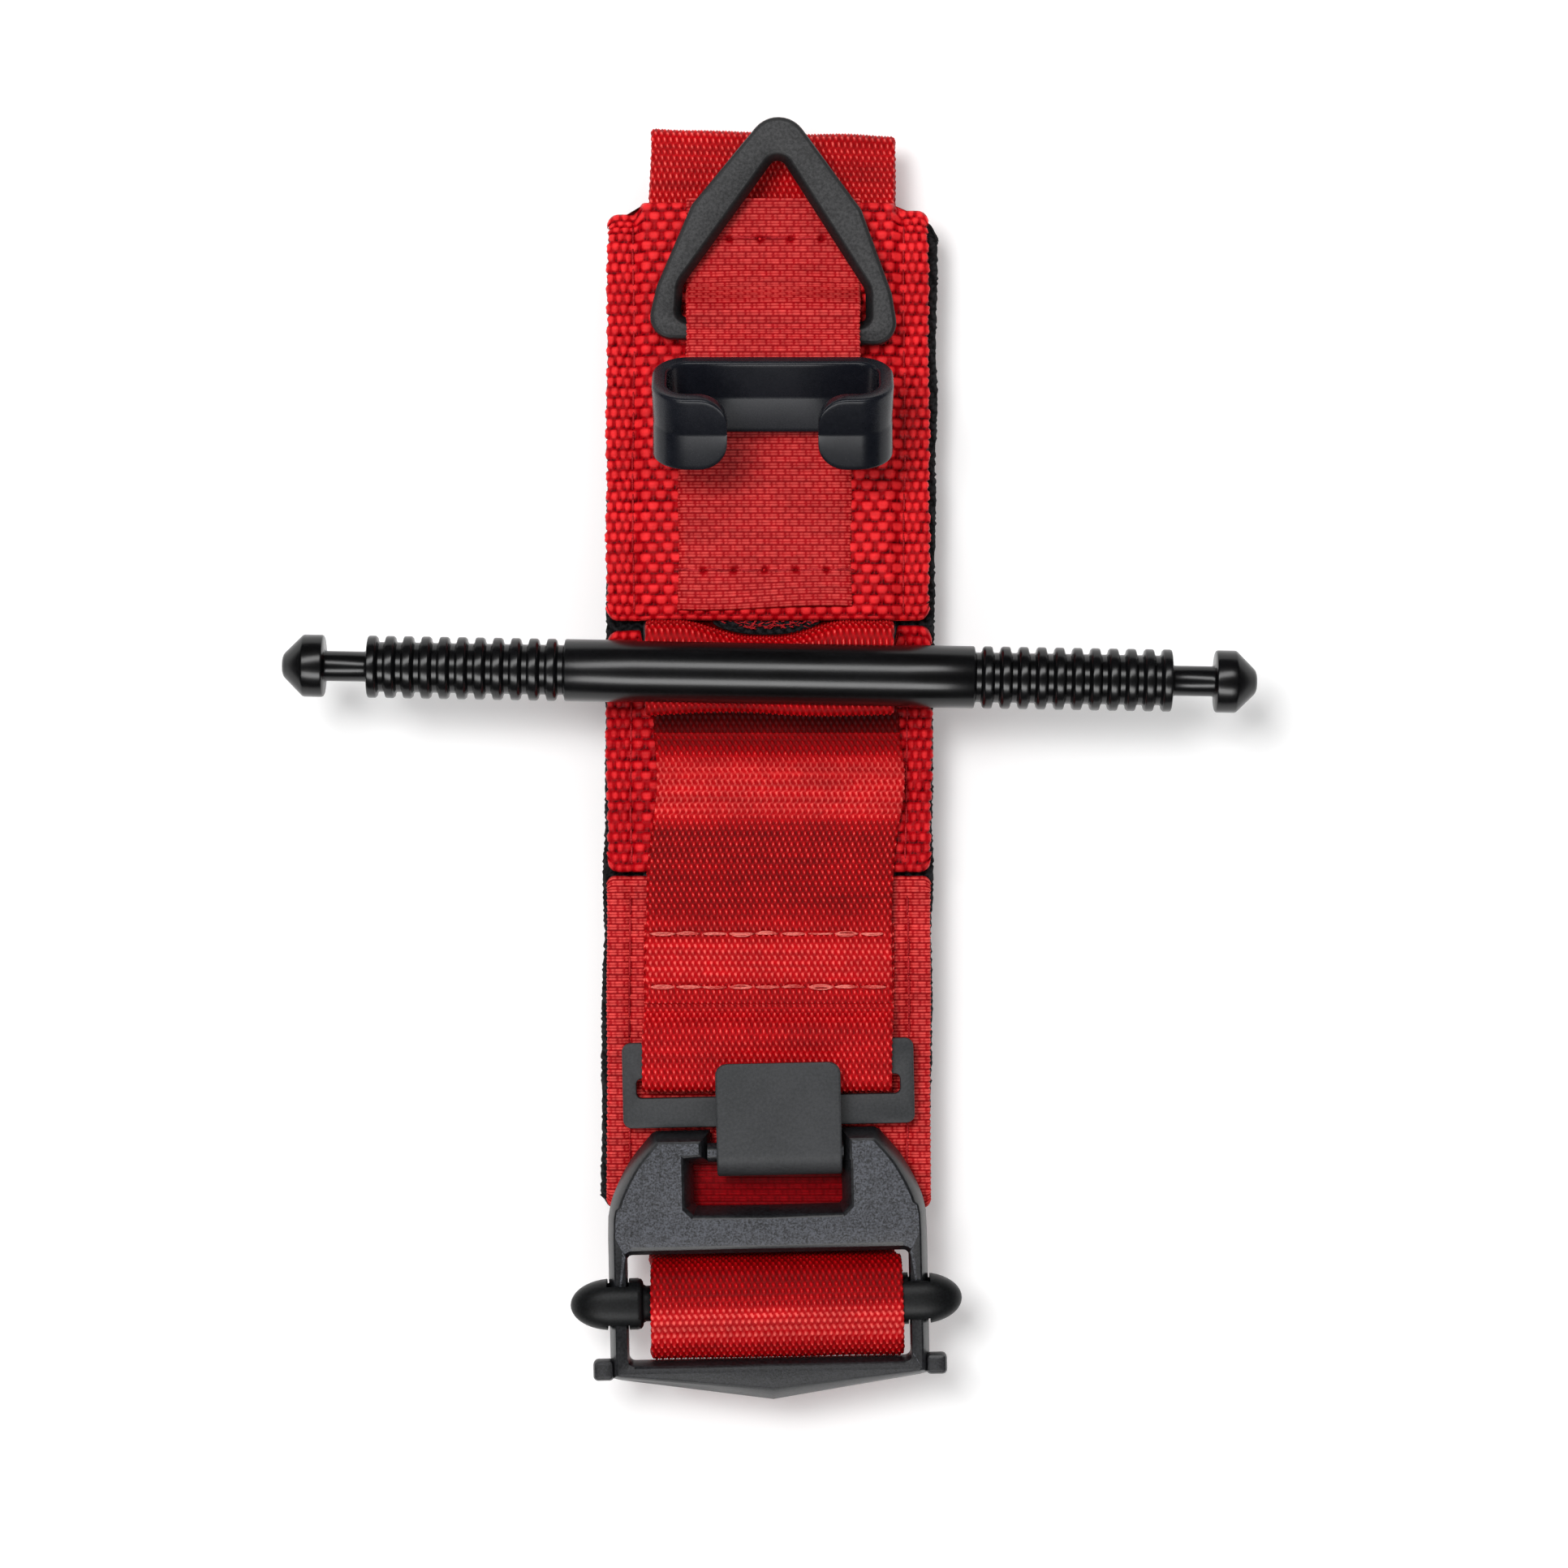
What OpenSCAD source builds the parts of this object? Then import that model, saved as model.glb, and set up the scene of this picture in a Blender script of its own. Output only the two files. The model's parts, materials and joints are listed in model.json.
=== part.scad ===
// Windlass tourniquet, folded flat for carrying and lying on its back.
//
// X runs along the windlass, Y along the strap towards the pull ring, Z up out of the front.
// The origin is at the centre of the bounding box, at the level of the lowest strap layer.

/* [Webbing] */
// Width of the heavy base webbing
base_w = 50; // [46:0.5:52]
// Width of the tourniquet strap
strap_w = 38.1; // [36:0.1:40]
// Thickness of the tourniquet strap
strap_t = 1.5; // [1.3:0.1:1.6]
// Thickness of the heavy base webbing
heavy_t = 2.2; // [1.8:0.1:2.4]
// Thickness of the fine webbing on the lower third of the base
fine_t = 1.7; // [1.4:0.1:1.8]
// Width of the retention ribbon that holds the ring and the clip
ribbon_w = 26.6; // [25:0.1:27]
// Thickness of the retention ribbon
ribbon_t = 1.0; // [0.8:0.1:1.0]
// Thickness of the soft backing against the skin
backing_t = 1.5; // [1.2:0.1:1.6]
// Thickness of the hidden plastic stiffener
stiffener_t = 0.6; // [0.4:0.1:0.8]
// Number of runs the loose strap end is folded into, under the base
tail_runs = 4; // [2:2:6]

/* [Windlass] */
// Diameter of the rod
rod_d = 9.5; // [9:0.1:9.6]
// Length of the rod over its two pointed tips
rod_l = 148.4; // [140:0.2:150]
// Diameter of the thin neck that the clip traps
neck_d = 4.6; // [4:0.1:6]
// Number of grip rings on each end
grip_rings = 11; // [6:1:12]
// Turn of the rod away from square, seen from the front
rod_skew = -1; // [-3:0.5:3]

/* [Windlass clip] */
// Outer width of the C-shaped clip
clip_w = 36.4; // [34:0.2:38]
// Height of the clip from its ribbon slot to the lips
clip_h = 15.5; // [14.5:0.5:17]
// Length of the clip along the strap
clip_l = 12; // [10:0.5:12]
// Wall of the clip
clip_wall = 2.3; // [2:0.1:2.6]
// Width of the mouth between the lips
clip_mouth = 13.6; // [11:0.2:15]
// Lean of the clip on its ribbon
clip_lean = 32; // [24:1:33]

/* [Pull ring] */
// Length of the ring from its bar to its apex
ring_h = 35; // [34:0.5:38]
// Width over the two lower corners
ring_w = 38.2; // [36:0.2:40]
// Thickness of the ring
ring_t = 3; // [2.8:0.1:3]
// Width of the ring's band
ring_band = 4.6; // [4:0.1:5]

/* [Hook plate and buckle] */
// Thickness of the stamped hook plate
plate_t = 1.8; // [1.4:0.1:1.8]
// Width of the hook plate
plate_w = 45; // [44:0.5:46]
// Width of the tongue that hooks the buckle
tongue_w = 19.1; // [16:0.1:20]
// Width of the buckle frame
frame_w = 49; // [48:0.5:50]
// Thickness of the buckle frame
frame_t = 5.5; // [5:0.1:5.6]
// Length of the locking bar over its lobes
bar_l = 60; // [58:0.5:62]
// Turn of the buckle away from square, seen from the front
buckle_skew = 1.2; // [-2:0.1:2]

/* [Hidden] */
$fn = 32;

gap = 0.2;               // free space between stacked strap layers
rest_gap = 0.05;         // space between sewn layers

// Places along the strap, +Y towards the ring.
top_fold_y = 96.8;       // outer edge of the top fold
upper_y = [21.1, 85.7];
middle_y = [-17.7, 20.4];
lower_y = [-69.6, -18.3];
backing_y = [-70.8, 83.4];
rod_y = 12.7;
centre_x = 0.5;          // middle of the ribbon, the ring and the clip
ring_y = 65.2;           // bar of the ring
clip_y = 56.3;           // ribbon slot of the clip
bight_y = -46.3;         // upper bar of the hook plate, inside the strap loop
hook_y = -60.4;          // crossbar of the buckle frame, inside the hook
lock_y = -83.4;          // locking bar
frame_top_y = -57.1;
frame_end_y = -98.6;

// Levels, from the lowest strap layer up.
layer = strap_t + gap;
back_z = tail_runs * layer;                       // underside of the back run
backing_z = back_z + layer;
stiffener_z = backing_z + backing_t + rest_gap;
web_z = stiffener_z + stiffener_t + rest_gap;     // underside of the sewn webbing
tunnel_z = web_z + strap_t + 3 * rest_gap;        // underside of the raised middle
main_z = web_z + rest_gap + strap_t / 2;          // middle of the strap in the tunnel
upper_top = tunnel_z + heavy_t;
middle_top = web_z + heavy_t;
lower_top = web_z + fine_t;
front_z = middle_top + 0.1 + strap_t / 2;         // middle of the front strap's lower layer
return_z = front_z + 1.9;                         // middle of the layer folded back over it
rod_play = 0.45;                                  // room between the rod and the strap round it
rod_z = return_z + strap_t / 2 + rod_play + rod_d / 2;
ribbon_z = upper_top + rest_gap + ribbon_t / 2;
ring_z = upper_top + 2.7;
clip_z = upper_top + 4.5;
plate_z = lower_top + strap_t + gap + plate_t / 2;
leaf_gap = 3.6;                                   // room for the crossbar in the hook
hook_z = plate_z + plate_t / 2 + leaf_gap / 2;
crossbar_d = 3;
tongue_x = 1.5;                                   // the hook sits a little off centre
frame_z = hook_z + 1.9 - frame_t;                 // underside of the buckle frame
lock_z = frame_z + frame_t / 2;

rail_w = 2.4;
rail_gap = 0.25;
slot_l = strap_w + 2.4;

red = [0.78, 0.08, 0.10];
dark_red = [0.5, 0.03, 0.05];
salmon = [0.85, 0.35, 0.33];
black = [0.07, 0.07, 0.08];
grey = [0.25, 0.26, 0.28];

// --- Curves -----------------------------------------------------------------

// Points on a circle of radius r about c, from angle a to angle b.
function arc(c, r, a, b, n = 8) = [
  for (i = [0:n]) let (t = a + (b - a) * i / n) c + r * [cos(t), sin(t)]
];

function unit(v) = v / norm(v);
function left(v) = [-v[1], v[0]];

// A polygon's corners rounded to radius r, or to a radius of its own for each corner.
function rounded(p, r, n = 6) = [
  for (i = [0:len(p) - 1])
    let (
      a = unit(p[(i + len(p) - 1) % len(p)] - p[i]),
      b = unit(p[(i + 1) % len(p)] - p[i]),
      radius = is_list(r) ? r[i] : r,
      half = acos(max(-1, min(1, a * b))) / 2,
      centre = p[i] + unit(a + b) * radius / sin(half),
      s = p[i] + a * radius / tan(half) - centre,
      e = p[i] + b * radius / tan(half) - centre,
      from = atan2(s[1], s[0]),
      sweep = (atan2(e[1], e[0]) - from + 540) % 360 - 180
    )
    each arc(centre, radius, from, from + sweep, n)
];

// A smooth curve through every point of a path.
function spline(p, n = 5) = concat(
  [for (i = [0:len(p) - 2], k = [0:n - 1])
    let (
      t = k / n,
      p0 = p[max(0, i - 1)], p1 = p[i], p2 = p[i + 1], p3 = p[min(len(p) - 1, i + 2)]
    )
    0.5 * (2 * p1 + (p2 - p0) * t + (2 * p0 - 5 * p1 + 4 * p2 - p3) * t * t
      + (3 * p1 - p0 - 3 * p2 + p3) * t * t * t)],
  [p[len(p) - 1]]
);

// The direction of a path at its point i.
function along(p, i) = unit(p[min(len(p) - 1, i + 1)] - p[max(0, i - 1)]);

// One side of a band of thickness t that follows a path.
function side(p, t) = [for (i = [0:len(p) - 1]) p[i] + left(along(p, i)) * t / 2];

function reversed(p) = [for (i = [len(p) - 1:-1:0]) p[i]];

// A strap of width w and thickness t whose middle follows a [y, z] path, centred on x.
module band(path, t, w, x = 0) {
  translate([x + w / 2, 0, 0]) rotate([90, 0, -90])
    linear_extrude(w) mirror([1, 0]) polygon(concat(side(path, t), reversed(side(path, -t))));
}

// A flat sheet between two y values, at height z.
module sheet(w, y, z, t, r = 1) {
  translate([0, 0, z]) linear_extrude(t)
    polygon(rounded([[-w / 2, y[0]], [w / 2, y[0]], [w / 2, y[1]], [-w / 2, y[1]]], r));
}

// A row of short threads lying across the strap.
module stitch_row(y, z, w, count, d = 0.5, x = 0) {
  pitch = w / count;
  for (i = [0:count - 1])
    translate([x - w / 2 + pitch * (i + 0.2), y, z + d / 2 + 0.02]) rotate([0, 90, 0])
      cylinder(h = pitch * 0.6, d = d);
}

// Two seams down the sides of a webbing piece.
module seam_pair(y, z, x, d = 0.5) {
  for (s = [-1, 1])
    translate([s * x, y[0] + 1.5, z + d / 2 + 0.02]) rotate([-90, 0, 0])
      cylinder(h = y[1] - y[0] - 3, d = d);
}

// --- Base ---------------------------------------------------------------------

module backing() {
  color(black) sheet(base_w + 1.6, backing_y, backing_z, backing_t, 1.5);
}

module stiffener() {
  color(grey) sheet(strap_w + 1, [backing_y[0] + 5, backing_y[1] - 4], stiffener_z, stiffener_t, 2);
}

// The middle of the upper webbing stands over the strap that runs beneath it.
module upper_webbing() {
  edge = base_w / 2;
  foot = strap_w / 2 + 1.4;
  crown = strap_w / 2 + 0.3;
  outline = [
    [-edge, web_z], [-foot, web_z], [-crown, tunnel_z], [crown, tunnel_z], [foot, web_z],
    [edge, web_z], [edge, middle_top], [foot - 0.4, middle_top], [crown - 0.4, upper_top],
    [0.4 - crown, upper_top], [0.4 - foot, middle_top], [-edge, middle_top]
  ];
  color(red) translate([0, upper_y[1], 0]) rotate([90, 0, 0])
    linear_extrude(upper_y[1] - upper_y[0]) polygon(outline);
}

// The upper edge is turned in where the strap comes out of the slit.
module middle_webbing() {
  notch_w = strap_w + 1.6;
  color(red) difference() {
    sheet(base_w, middle_y, web_z, heavy_t, 1.5);
    translate([-notch_w / 2, middle_y[1] - 3, web_z - 1]) cube([notch_w, 4, heavy_t + 2]);
  }
}

module lower_webbing() {
  color(red) sheet(base_w, lower_y, web_z, fine_t, 1.5);
}

module upper_side_seams() {
  color(dark_red) seam_pair(upper_y, middle_top, 21);
}

module middle_side_seams() {
  color(dark_red) seam_pair(middle_y, middle_top, 21.2);
}

module lower_side_seams() {
  color(dark_red) seam_pair(lower_y, lower_top, 21.6);
}

// --- Retention ribbon ------------------------------------------------------------

ribbon_path = concat(
  [[upper_y[1] + 0.2, ribbon_z], [76, ribbon_z]],
  spline([
    [73.2, ribbon_z], [71.5, ribbon_z + 0.8], [69.4, ribbon_z + 4.1], [67.3, ring_z + 2.8],
    [65, ring_z + 2.6], [62.8, clip_z + 1.7], [60.6, clip_z + 2.1], [58.6, clip_z + 1.4],
    [clip_y, clip_z], [54, clip_z - 1.44], [51.6, ribbon_z + 0.75], [49.4, ribbon_z + 0.1]
  ], 4),
  [[48, ribbon_z], [22.9, ribbon_z]]
);

module retention_ribbon() {
  color(red) translate([centre_x, 0, 0]) band(ribbon_path, ribbon_t, ribbon_w);
}

module ribbon_top_stitches() {
  color(dark_red) stitch_row(79.7, ribbon_z + ribbon_t / 2, ribbon_w - 3, 5);
}

module ribbon_end_stitches() {
  color(dark_red) stitch_row(28.8, ribbon_z + ribbon_t / 2, ribbon_w - 3, 5);
}

// --- Strap ----------------------------------------------------------------------

// From the slit in the base, up the tunnel, round the top fold and down the back.
module main_strap() {
  z1 = main_z;
  z0 = back_z + strap_t / 2;
  r = (z1 - z0) / 2;
  c = [top_fold_y - strap_t / 2 - r, z0 + r];
  color(red) band(
    concat([[23, z1]], arc(c, r, 90, -90, 12), [[-70, z0]]), strap_t, strap_w
  );
}

tail_ends = [-66, 78];   // where the loose end turns back

// The loose end, folded to and fro under the back run.
module strap_tail() {
  r = layer / 2;
  levels = [for (i = [tail_runs - 1:-1:0]) i * layer + strap_t / 2];
  path = concat(
    [[-70, levels[0]]],
    [for (i = [0:tail_runs - 2]) each let (up = i % 2 == 0)
      arc([up ? tail_ends[1] : tail_ends[0], levels[i] - r], r, 90, up ? -90 : 270, 8)],
    [[tail_runs % 2 == 0 ? tail_ends[0] + 8 : tail_ends[1] - 8, levels[tail_runs - 1]]]
  );
  color(red) band(path, strap_t, strap_w);
}

// The hem that keeps the loose end from slipping out of the buckle.
module tail_hem() {
  y = tail_ends[0] + 4.2;
  color(dark_red) sheet(strap_w - 1, [y - 3.2, y + 3.2], 0, strap_t, 0.8);
}

// From the slit in the base up through the rod, round under it and back out on the base.
module windlass_strap() {
  r = rod_z - return_z;
  turn = (return_z - front_z) / 2;
  back = rod_y + 3.6;
  path = concat(
    spline([
      [22.8, main_z], [20.9, main_z], [19.9, main_z + 0.9], [19.4, main_z + 2.6],
      [19.3, rod_z - 4], [19, rod_z - 1.9], [18.4, rod_z - 0.6], [17.3, rod_z], [15.4, rod_z]
    ], 4),
    [[rod_y, rod_z], [rod_y - r + 0.35, rod_z]],
    arc([rod_y, rod_z], r, 190, 270, 8),
    arc([back, return_z - turn], turn, 90, -90, 8),
    [[4, front_z]]
  );
  color(red) band(path, strap_t, strap_w);
}

// Along the front of the base to the hook plate, in two layers sewn together.
module front_strap() {
  top = spline([
    [3.8, front_z], [0, front_z + 0.7], [-4, front_z + 1.5], [-8, front_z + 1.1],
    [-12, front_z + 0.3], [-16, front_z + 0.2], [-20, front_z + 0.6], [-24, front_z + 1.1]
  ], 4);
  color(red) band(concat(top, [[-27, front_z + 1.1], [-37.8, front_z + 1.1]]), strap_t, strap_w - 0.6);
}

// The sewn loop that holds the hook plate.
module hook_loop() {
  over = plate_z + plate_t / 2 + 0.1 + strap_t / 2;
  under = plate_z - plate_t / 2 - 0.1 - strap_t / 2;
  r = (over - under) / 2;
  path = concat(
    [[-38, front_z + 1.1], [-39.4, front_z + 1.4], [-41.4, over - 0.3], [-42.8, over]],
    arc([bight_y - 2.7, plate_z], r, 90, 270, 10),
    [[-25.5, under]]
  );
  color(red) band(path, strap_t, strap_w - 0.6);
}

module loop_upper_stitches() {
  color(salmon) stitch_row(-27.1, front_z + 1.1 + strap_t / 2, strap_w - 4, 9, 0.6);
}

module loop_lower_stitches() {
  color(salmon) stitch_row(-35.3, front_z + 1.1 + strap_t / 2, strap_w - 4, 9, 0.6);
}

// Over the locking bar, with a leg to the back run and a leg to the loose end.
module buckle_strap() {
  z0 = back_z + strap_t / 2;
  z1 = z0 - layer;
  top = lock_z + 4.2;
  path = concat(
    spline([
      [-70.75, z0], [-72.8, z0 + 0.5], [-75.2, z0 + 3], [-76.9, frame_z - 1],
      [-77.4, frame_z + 3], [-78.6, top - 1.4], [-81, top - 0.2], [lock_y - 0.4, top],
      [-86.4, top - 0.4], [-89, top - 2], [-90.6, frame_z + 3], [-91, frame_z - 1],
      [-90.4, z0 - 0.4], [-87, z1 - 0.1]
    ], 4),
    [[-84, z1], [-70.75, z1]]
  );
  color(red) buckle_turned() band(path, strap_t, strap_w);
}

// --- Hardware --------------------------------------------------------------------

// A half profile of the windlass, from its middle to one tip.
module windlass() {
  r = rod_d / 2;
  plain = 31.2;
  grip_end = 61.2;
  pitch = (grip_end - plain) / grip_rings;
  root_r = r - 1.05;
  half = rod_l / 2;
  knob = half - 6.4;
  profile = concat(
    [[0, 0], [r, 0]],
    [for (i = [0:grip_rings - 1])
      each let (s = plain + i * pitch)
        [[r, s - 0.15], [root_r, s + 0.15], [root_r, s + pitch / 2 - 0.15], [r, s + pitch / 2 + 0.15]]],
    [
      [r, grip_end - 0.6], [r - 0.6, grip_end], [neck_d / 2, grip_end],
      [neck_d / 2, knob], [r - 0.4, knob], [r, knob + 0.4], [r, half - 3.2],
      [1.9, half - 0.1], [0, half]
    ]
  );
  color(black) translate([0, rod_y, rod_z]) rotate([0, 0, rod_skew]) difference() {
    for (s = [0, 1]) mirror([s, 0, 0]) rotate([0, 90, 0]) rotate_extrude($fn = 72) polygon(profile);
    cube([slot_l, rod_d + 1, strap_t + 0.7], center = true);
  }
}

module ring_turned() {
  translate([centre_x, ring_y, ring_z]) rotate([3, 0, -1.7]) children();
}

// A rounded triangle with a straight bar, which the ribbon holds.
module pull_ring() {
  foot = ring_w / 2 + 0.5;
  hip = foot - 1.6;
  hole = foot - ring_band - 0.8;
  outer = rounded([
    [-foot, -1.6], [foot, -1.6], [hip, 6.4], [13, 18.9], [0, ring_h + 0.5], [-13, 18.9], [-hip, 6.4]
  ], [3.4, 3.4, 5, 2, 4.6, 2, 5]);
  inner = rounded([
    [-hole, 1.8], [hole, 1.8], [hole - 0.2, 6.8], [0, ring_h + 0.5 - 1.8 * ring_band],
    [0.2 - hole, 6.8]
  ], [1, 1, 3, 1.4, 3]);
  color(black) ring_turned() translate([0, 0, -ring_t / 2]) linear_extrude(ring_t) difference() {
    polygon(outer);
    polygon(inner);
  }
}

// The C-shaped clip: back plate, two rising walls and two lips, with a ribbon slot behind.
module windlass_clip() {
  slot_h = ribbon_t + 0.6;
  floor_z = slot_h / 2;
  bridge_t = 1;
  half = clip_w / 2;
  inner = half - clip_wall;
  lip = clip_mouth / 2;
  corner = 5.6;
  profile = concat(
    [[0, floor_z]],
    arc([half - corner, floor_z + corner], corner, -90, 0, 8),
    arc([half - corner, clip_h - corner], corner, 0, 90, 8),
    arc([lip + clip_wall / 2, clip_h - clip_wall / 2], clip_wall / 2, 90, 270, 8),
    arc([half - corner, clip_h - corner], corner - clip_wall, 90, 0, 8),
    arc([half - corner, floor_z + corner], corner - clip_wall, 0, -90, 8),
    [[0, floor_z + clip_wall]]
  );
  color(black) translate([centre_x, clip_y, clip_z]) rotate([clip_lean, 0, 0]) {
    for (s = [0, 1]) mirror([s, 0, 0]) translate([0, clip_l / 2, 0]) rotate([90, 0, 0])
      linear_extrude(clip_l) polygon(profile);
    // The bridge behind the ribbon.
    translate([-15.2, -3, -slot_h / 2 - bridge_t]) cube([30.4, 6, bridge_t]);
    for (s = [-1, 1])
      translate([s * 14.6 - 0.6, -3, -slot_h / 2 - bridge_t]) cube([1.2, 6, slot_h + bridge_t + 1.2]);
  }
}

module buckle_turned() {
  translate([0, hook_y, 0]) rotate([0, 0, buckle_skew]) translate([0, -hook_y, 0]) children();
}

// A stamped plate with a strap slot, whose tongue is folded back into a hook.
module hook_plate() {
  w = plate_w / 2;
  top = -43.5;
  low = -56.6;
  slot = [-52, -49];
  r = leaf_gap / 2 + plate_t / 2;
  path = concat(
    [[-53, plate_z]], arc([hook_y, hook_z], r, 270, 90, 12), [[-47.2, hook_z + r]]
  );
  color(grey) buckle_turned() {
    translate([0, 0, plate_z - plate_t / 2]) linear_extrude(plate_t) difference() {
      polygon(rounded([[-w, low], [w, low], [w, top], [-w, top]], 2));
      translate([-slot_l / 2, slot[0]]) square([slot_l, slot[1] - slot[0]]);
    }
    band(path, plate_t, tongue_w, tongue_x);
  }
}

// The right half of the buckle frame's outline, seen from the front, and the whole of it.
frame_outline = concat(
  [[0, frame_end_y], [frame_w / 2 - 1.5, -95.2], [frame_w / 2, -94]],
  [[frame_w / 2, -73]],
  spline([
    [frame_w / 2 - 0.1, -70], [frame_w / 2 - 1, -66.6], [frame_w / 2 - 3.6, -61.6],
    [frame_w / 2 - 7.4, frame_top_y]
  ], 4)
);
frame_loop = concat(
  frame_outline,
  [for (i = [len(frame_outline) - 1:-1:1]) [-frame_outline[i][0], frame_outline[i][1]]]
);

module buckle_frame() {
  window = [-92.3, -75.8];
  hook_window = [-68.7, -62.1];
  hook_w = 11.2;
  recess_w = tongue_w + 0.8;
  bar_w = frame_w / 2 - rail_w;
  color([0.2, 0.22, 0.25]) buckle_turned() {
    translate([0, 0, frame_z]) linear_extrude(frame_t) difference() {
      polygon(frame_loop);
      polygon(rounded(
        [[-bar_w, window[0]], [bar_w, window[0]], [bar_w, window[1]], [-bar_w, window[1]]], 0.8
      ));
      translate([-hook_w, hook_window[0]]) square([2 * hook_w, hook_window[1] - hook_window[0]]);
      translate([tongue_x - recess_w / 2, hook_window[1] - 1]) square([recess_w, 8]);
    }
    // The crossbar that the hook holds.
    translate([tongue_x - recess_w / 2 - 0.5, hook_y, hook_z]) rotate([0, 90, 0])
      cylinder(h = recess_w + 1, d = crossbar_d);
    // Stops at the ends of the rails.
    for (s = [-1, 1])
      translate([s * (frame_w / 2 + 1) - 1.6, -95, frame_z + 1.2]) cube([3.2, 3.2, frame_t - 2.4]);
  }
}

// A round bar with a rounded lobe at each end, bored for the frame's rails.
module lock_bar() {
  lobe_r = 3.9;
  lobe_t = 8;
  lobe_in = strap_w / 2 + 0.35;
  rail_in = frame_w / 2 - rail_w - rail_gap;
  rail_out = frame_w / 2 + rail_gap;
  color(black) buckle_turned() translate([0, lock_y, lock_z]) {
    rotate([0, 90, 0]) cylinder(h = 2 * lobe_in + 1, d = 5.4, center = true);
    for (s = [0, 1]) mirror([s, 0, 0]) difference() {
      union() {
        translate([lobe_in, -lobe_r, -lobe_t / 2])
          cube([bar_l / 2 - lobe_r - lobe_in, 2 * lobe_r, lobe_t]);
        translate([bar_l / 2 - lobe_r, 0, -lobe_t / 2]) cylinder(h = lobe_t, r = lobe_r, $fn = 48);
      }
      translate([rail_in, -lobe_r - 1, -frame_t / 2 - rail_gap])
        cube([rail_out - rail_in, 2 * lobe_r + 2, frame_t + 2 * rail_gap]);
    }
  }
}

backing();
stiffener();
upper_webbing();
middle_webbing();
lower_webbing();
upper_side_seams();
middle_side_seams();
lower_side_seams();
retention_ribbon();
ribbon_top_stitches();
ribbon_end_stitches();
main_strap();
strap_tail();
tail_hem();
windlass_strap();
front_strap();
hook_loop();
loop_upper_stitches();
loop_lower_stitches();
pull_ring();
windlass_clip();
windlass();
hook_plate();
buckle_frame();
lock_bar();
buckle_strap();
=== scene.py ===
import json
import math

import bmesh
import bpy
import numpy as np
from mathutils import Matrix, Vector
from mathutils.geometry import tessellate_polygon


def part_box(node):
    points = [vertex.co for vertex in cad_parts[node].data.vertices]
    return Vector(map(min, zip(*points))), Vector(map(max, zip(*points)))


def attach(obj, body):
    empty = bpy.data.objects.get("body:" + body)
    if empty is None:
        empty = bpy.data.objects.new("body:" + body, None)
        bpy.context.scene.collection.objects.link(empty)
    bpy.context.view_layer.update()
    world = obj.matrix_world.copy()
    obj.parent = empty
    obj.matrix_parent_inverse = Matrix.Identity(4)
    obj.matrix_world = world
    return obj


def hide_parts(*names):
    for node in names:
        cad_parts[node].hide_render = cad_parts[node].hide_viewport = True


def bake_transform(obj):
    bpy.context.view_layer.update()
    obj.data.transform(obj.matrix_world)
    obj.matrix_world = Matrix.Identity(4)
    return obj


# A windlass tourniquet, lying folded on a pale floor. Lengths are millimetres until a mesh is made.
# X runs along the windlass, Y along the strap, Z up.

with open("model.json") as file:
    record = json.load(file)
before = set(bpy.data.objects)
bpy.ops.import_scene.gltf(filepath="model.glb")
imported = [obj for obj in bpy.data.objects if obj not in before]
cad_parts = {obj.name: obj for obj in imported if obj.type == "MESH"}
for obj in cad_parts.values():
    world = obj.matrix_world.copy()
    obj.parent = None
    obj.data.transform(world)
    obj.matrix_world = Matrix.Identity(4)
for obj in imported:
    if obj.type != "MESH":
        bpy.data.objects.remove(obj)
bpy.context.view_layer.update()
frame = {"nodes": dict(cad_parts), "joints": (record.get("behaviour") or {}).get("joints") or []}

MM = 0.001
JOINTS = {j["name"]: j for j in frame["joints"]}


def span(node, axis):
    """Lowest and highest value of a CAD node along one axis."""
    low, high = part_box(node)
    i = "xyz".index(axis)
    return low[i] / MM, high[i] / MM


def size(node, axis):
    """How far a CAD node reaches along one axis."""
    low, high = span(node, axis)
    return high - low


def pivot(joint):
    """A joint's place."""
    return [c / MM for c in JOINTS[joint]["pos_m"]]


# --- Sizes and levels, mostly read from the frame ---------------------

strap_t = size("tail_hem", "z")
strap_w = size("main_strap", "x")
base_w = size("lower_webbing", "x")
backing_w = size("backing", "x")
ribbon_w = size("retention_ribbon", "x")
web_z = span("lower_webbing", "z")[0]
lower_top = span("lower_webbing", "z")[1]
middle_top = span("middle_webbing", "z")[1]
upper_top = span("upper_webbing", "z")[1]
heavy_t = middle_top - web_z
fine_t = lower_top - web_z
main_z = span("main_strap", "z")[1] - strap_t / 2
back_z = span("main_strap", "z")[0] + strap_t / 2
tail_z = span("strap_tail", "z")[1] - strap_t / 2
layer = back_z - tail_z
front_z = span("front_strap", "z")[0] + strap_t / 2
ribbon_t = 1.0
ribbon_z = upper_top + 0.05 + ribbon_t / 2
rod_x, rod_y, rod_z = pivot("windlass_twist")
ring_x, ring_y, ring_z = pivot("ring_swing")
clip_x, clip_y, clip_z = pivot("clip_tilt")
_, bight_y, plate_z = pivot("hook_swing")
_, hook_y, hook_z = pivot("buckle_pivot")
lock_y = sum(span("lock_bar", "y")) / 2
lock_z = sum(span("lock_bar", "z")) / 2
frame_z = span("buckle_frame", "z")[0]
frame_t = size("buckle_frame", "z")
plate_t = 1.8
buckle_skew = math.atan2(-JOINTS["lock_bar_slide"]["axis"][0], JOINTS["lock_bar_slide"]["axis"][1])
rod_skew = -math.radians(1)
seam_x = {"upper": 20.9, "middle": 20.9 + 0.3, "lower": 20.9 + 0.6}
loop_z = front_z + 1.1
loop_start = -37.8
loop_rows = {"loop_upper_stitches": -27.1, "loop_lower_stitches": -35.3}
frame_shift = -0.6
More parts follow.
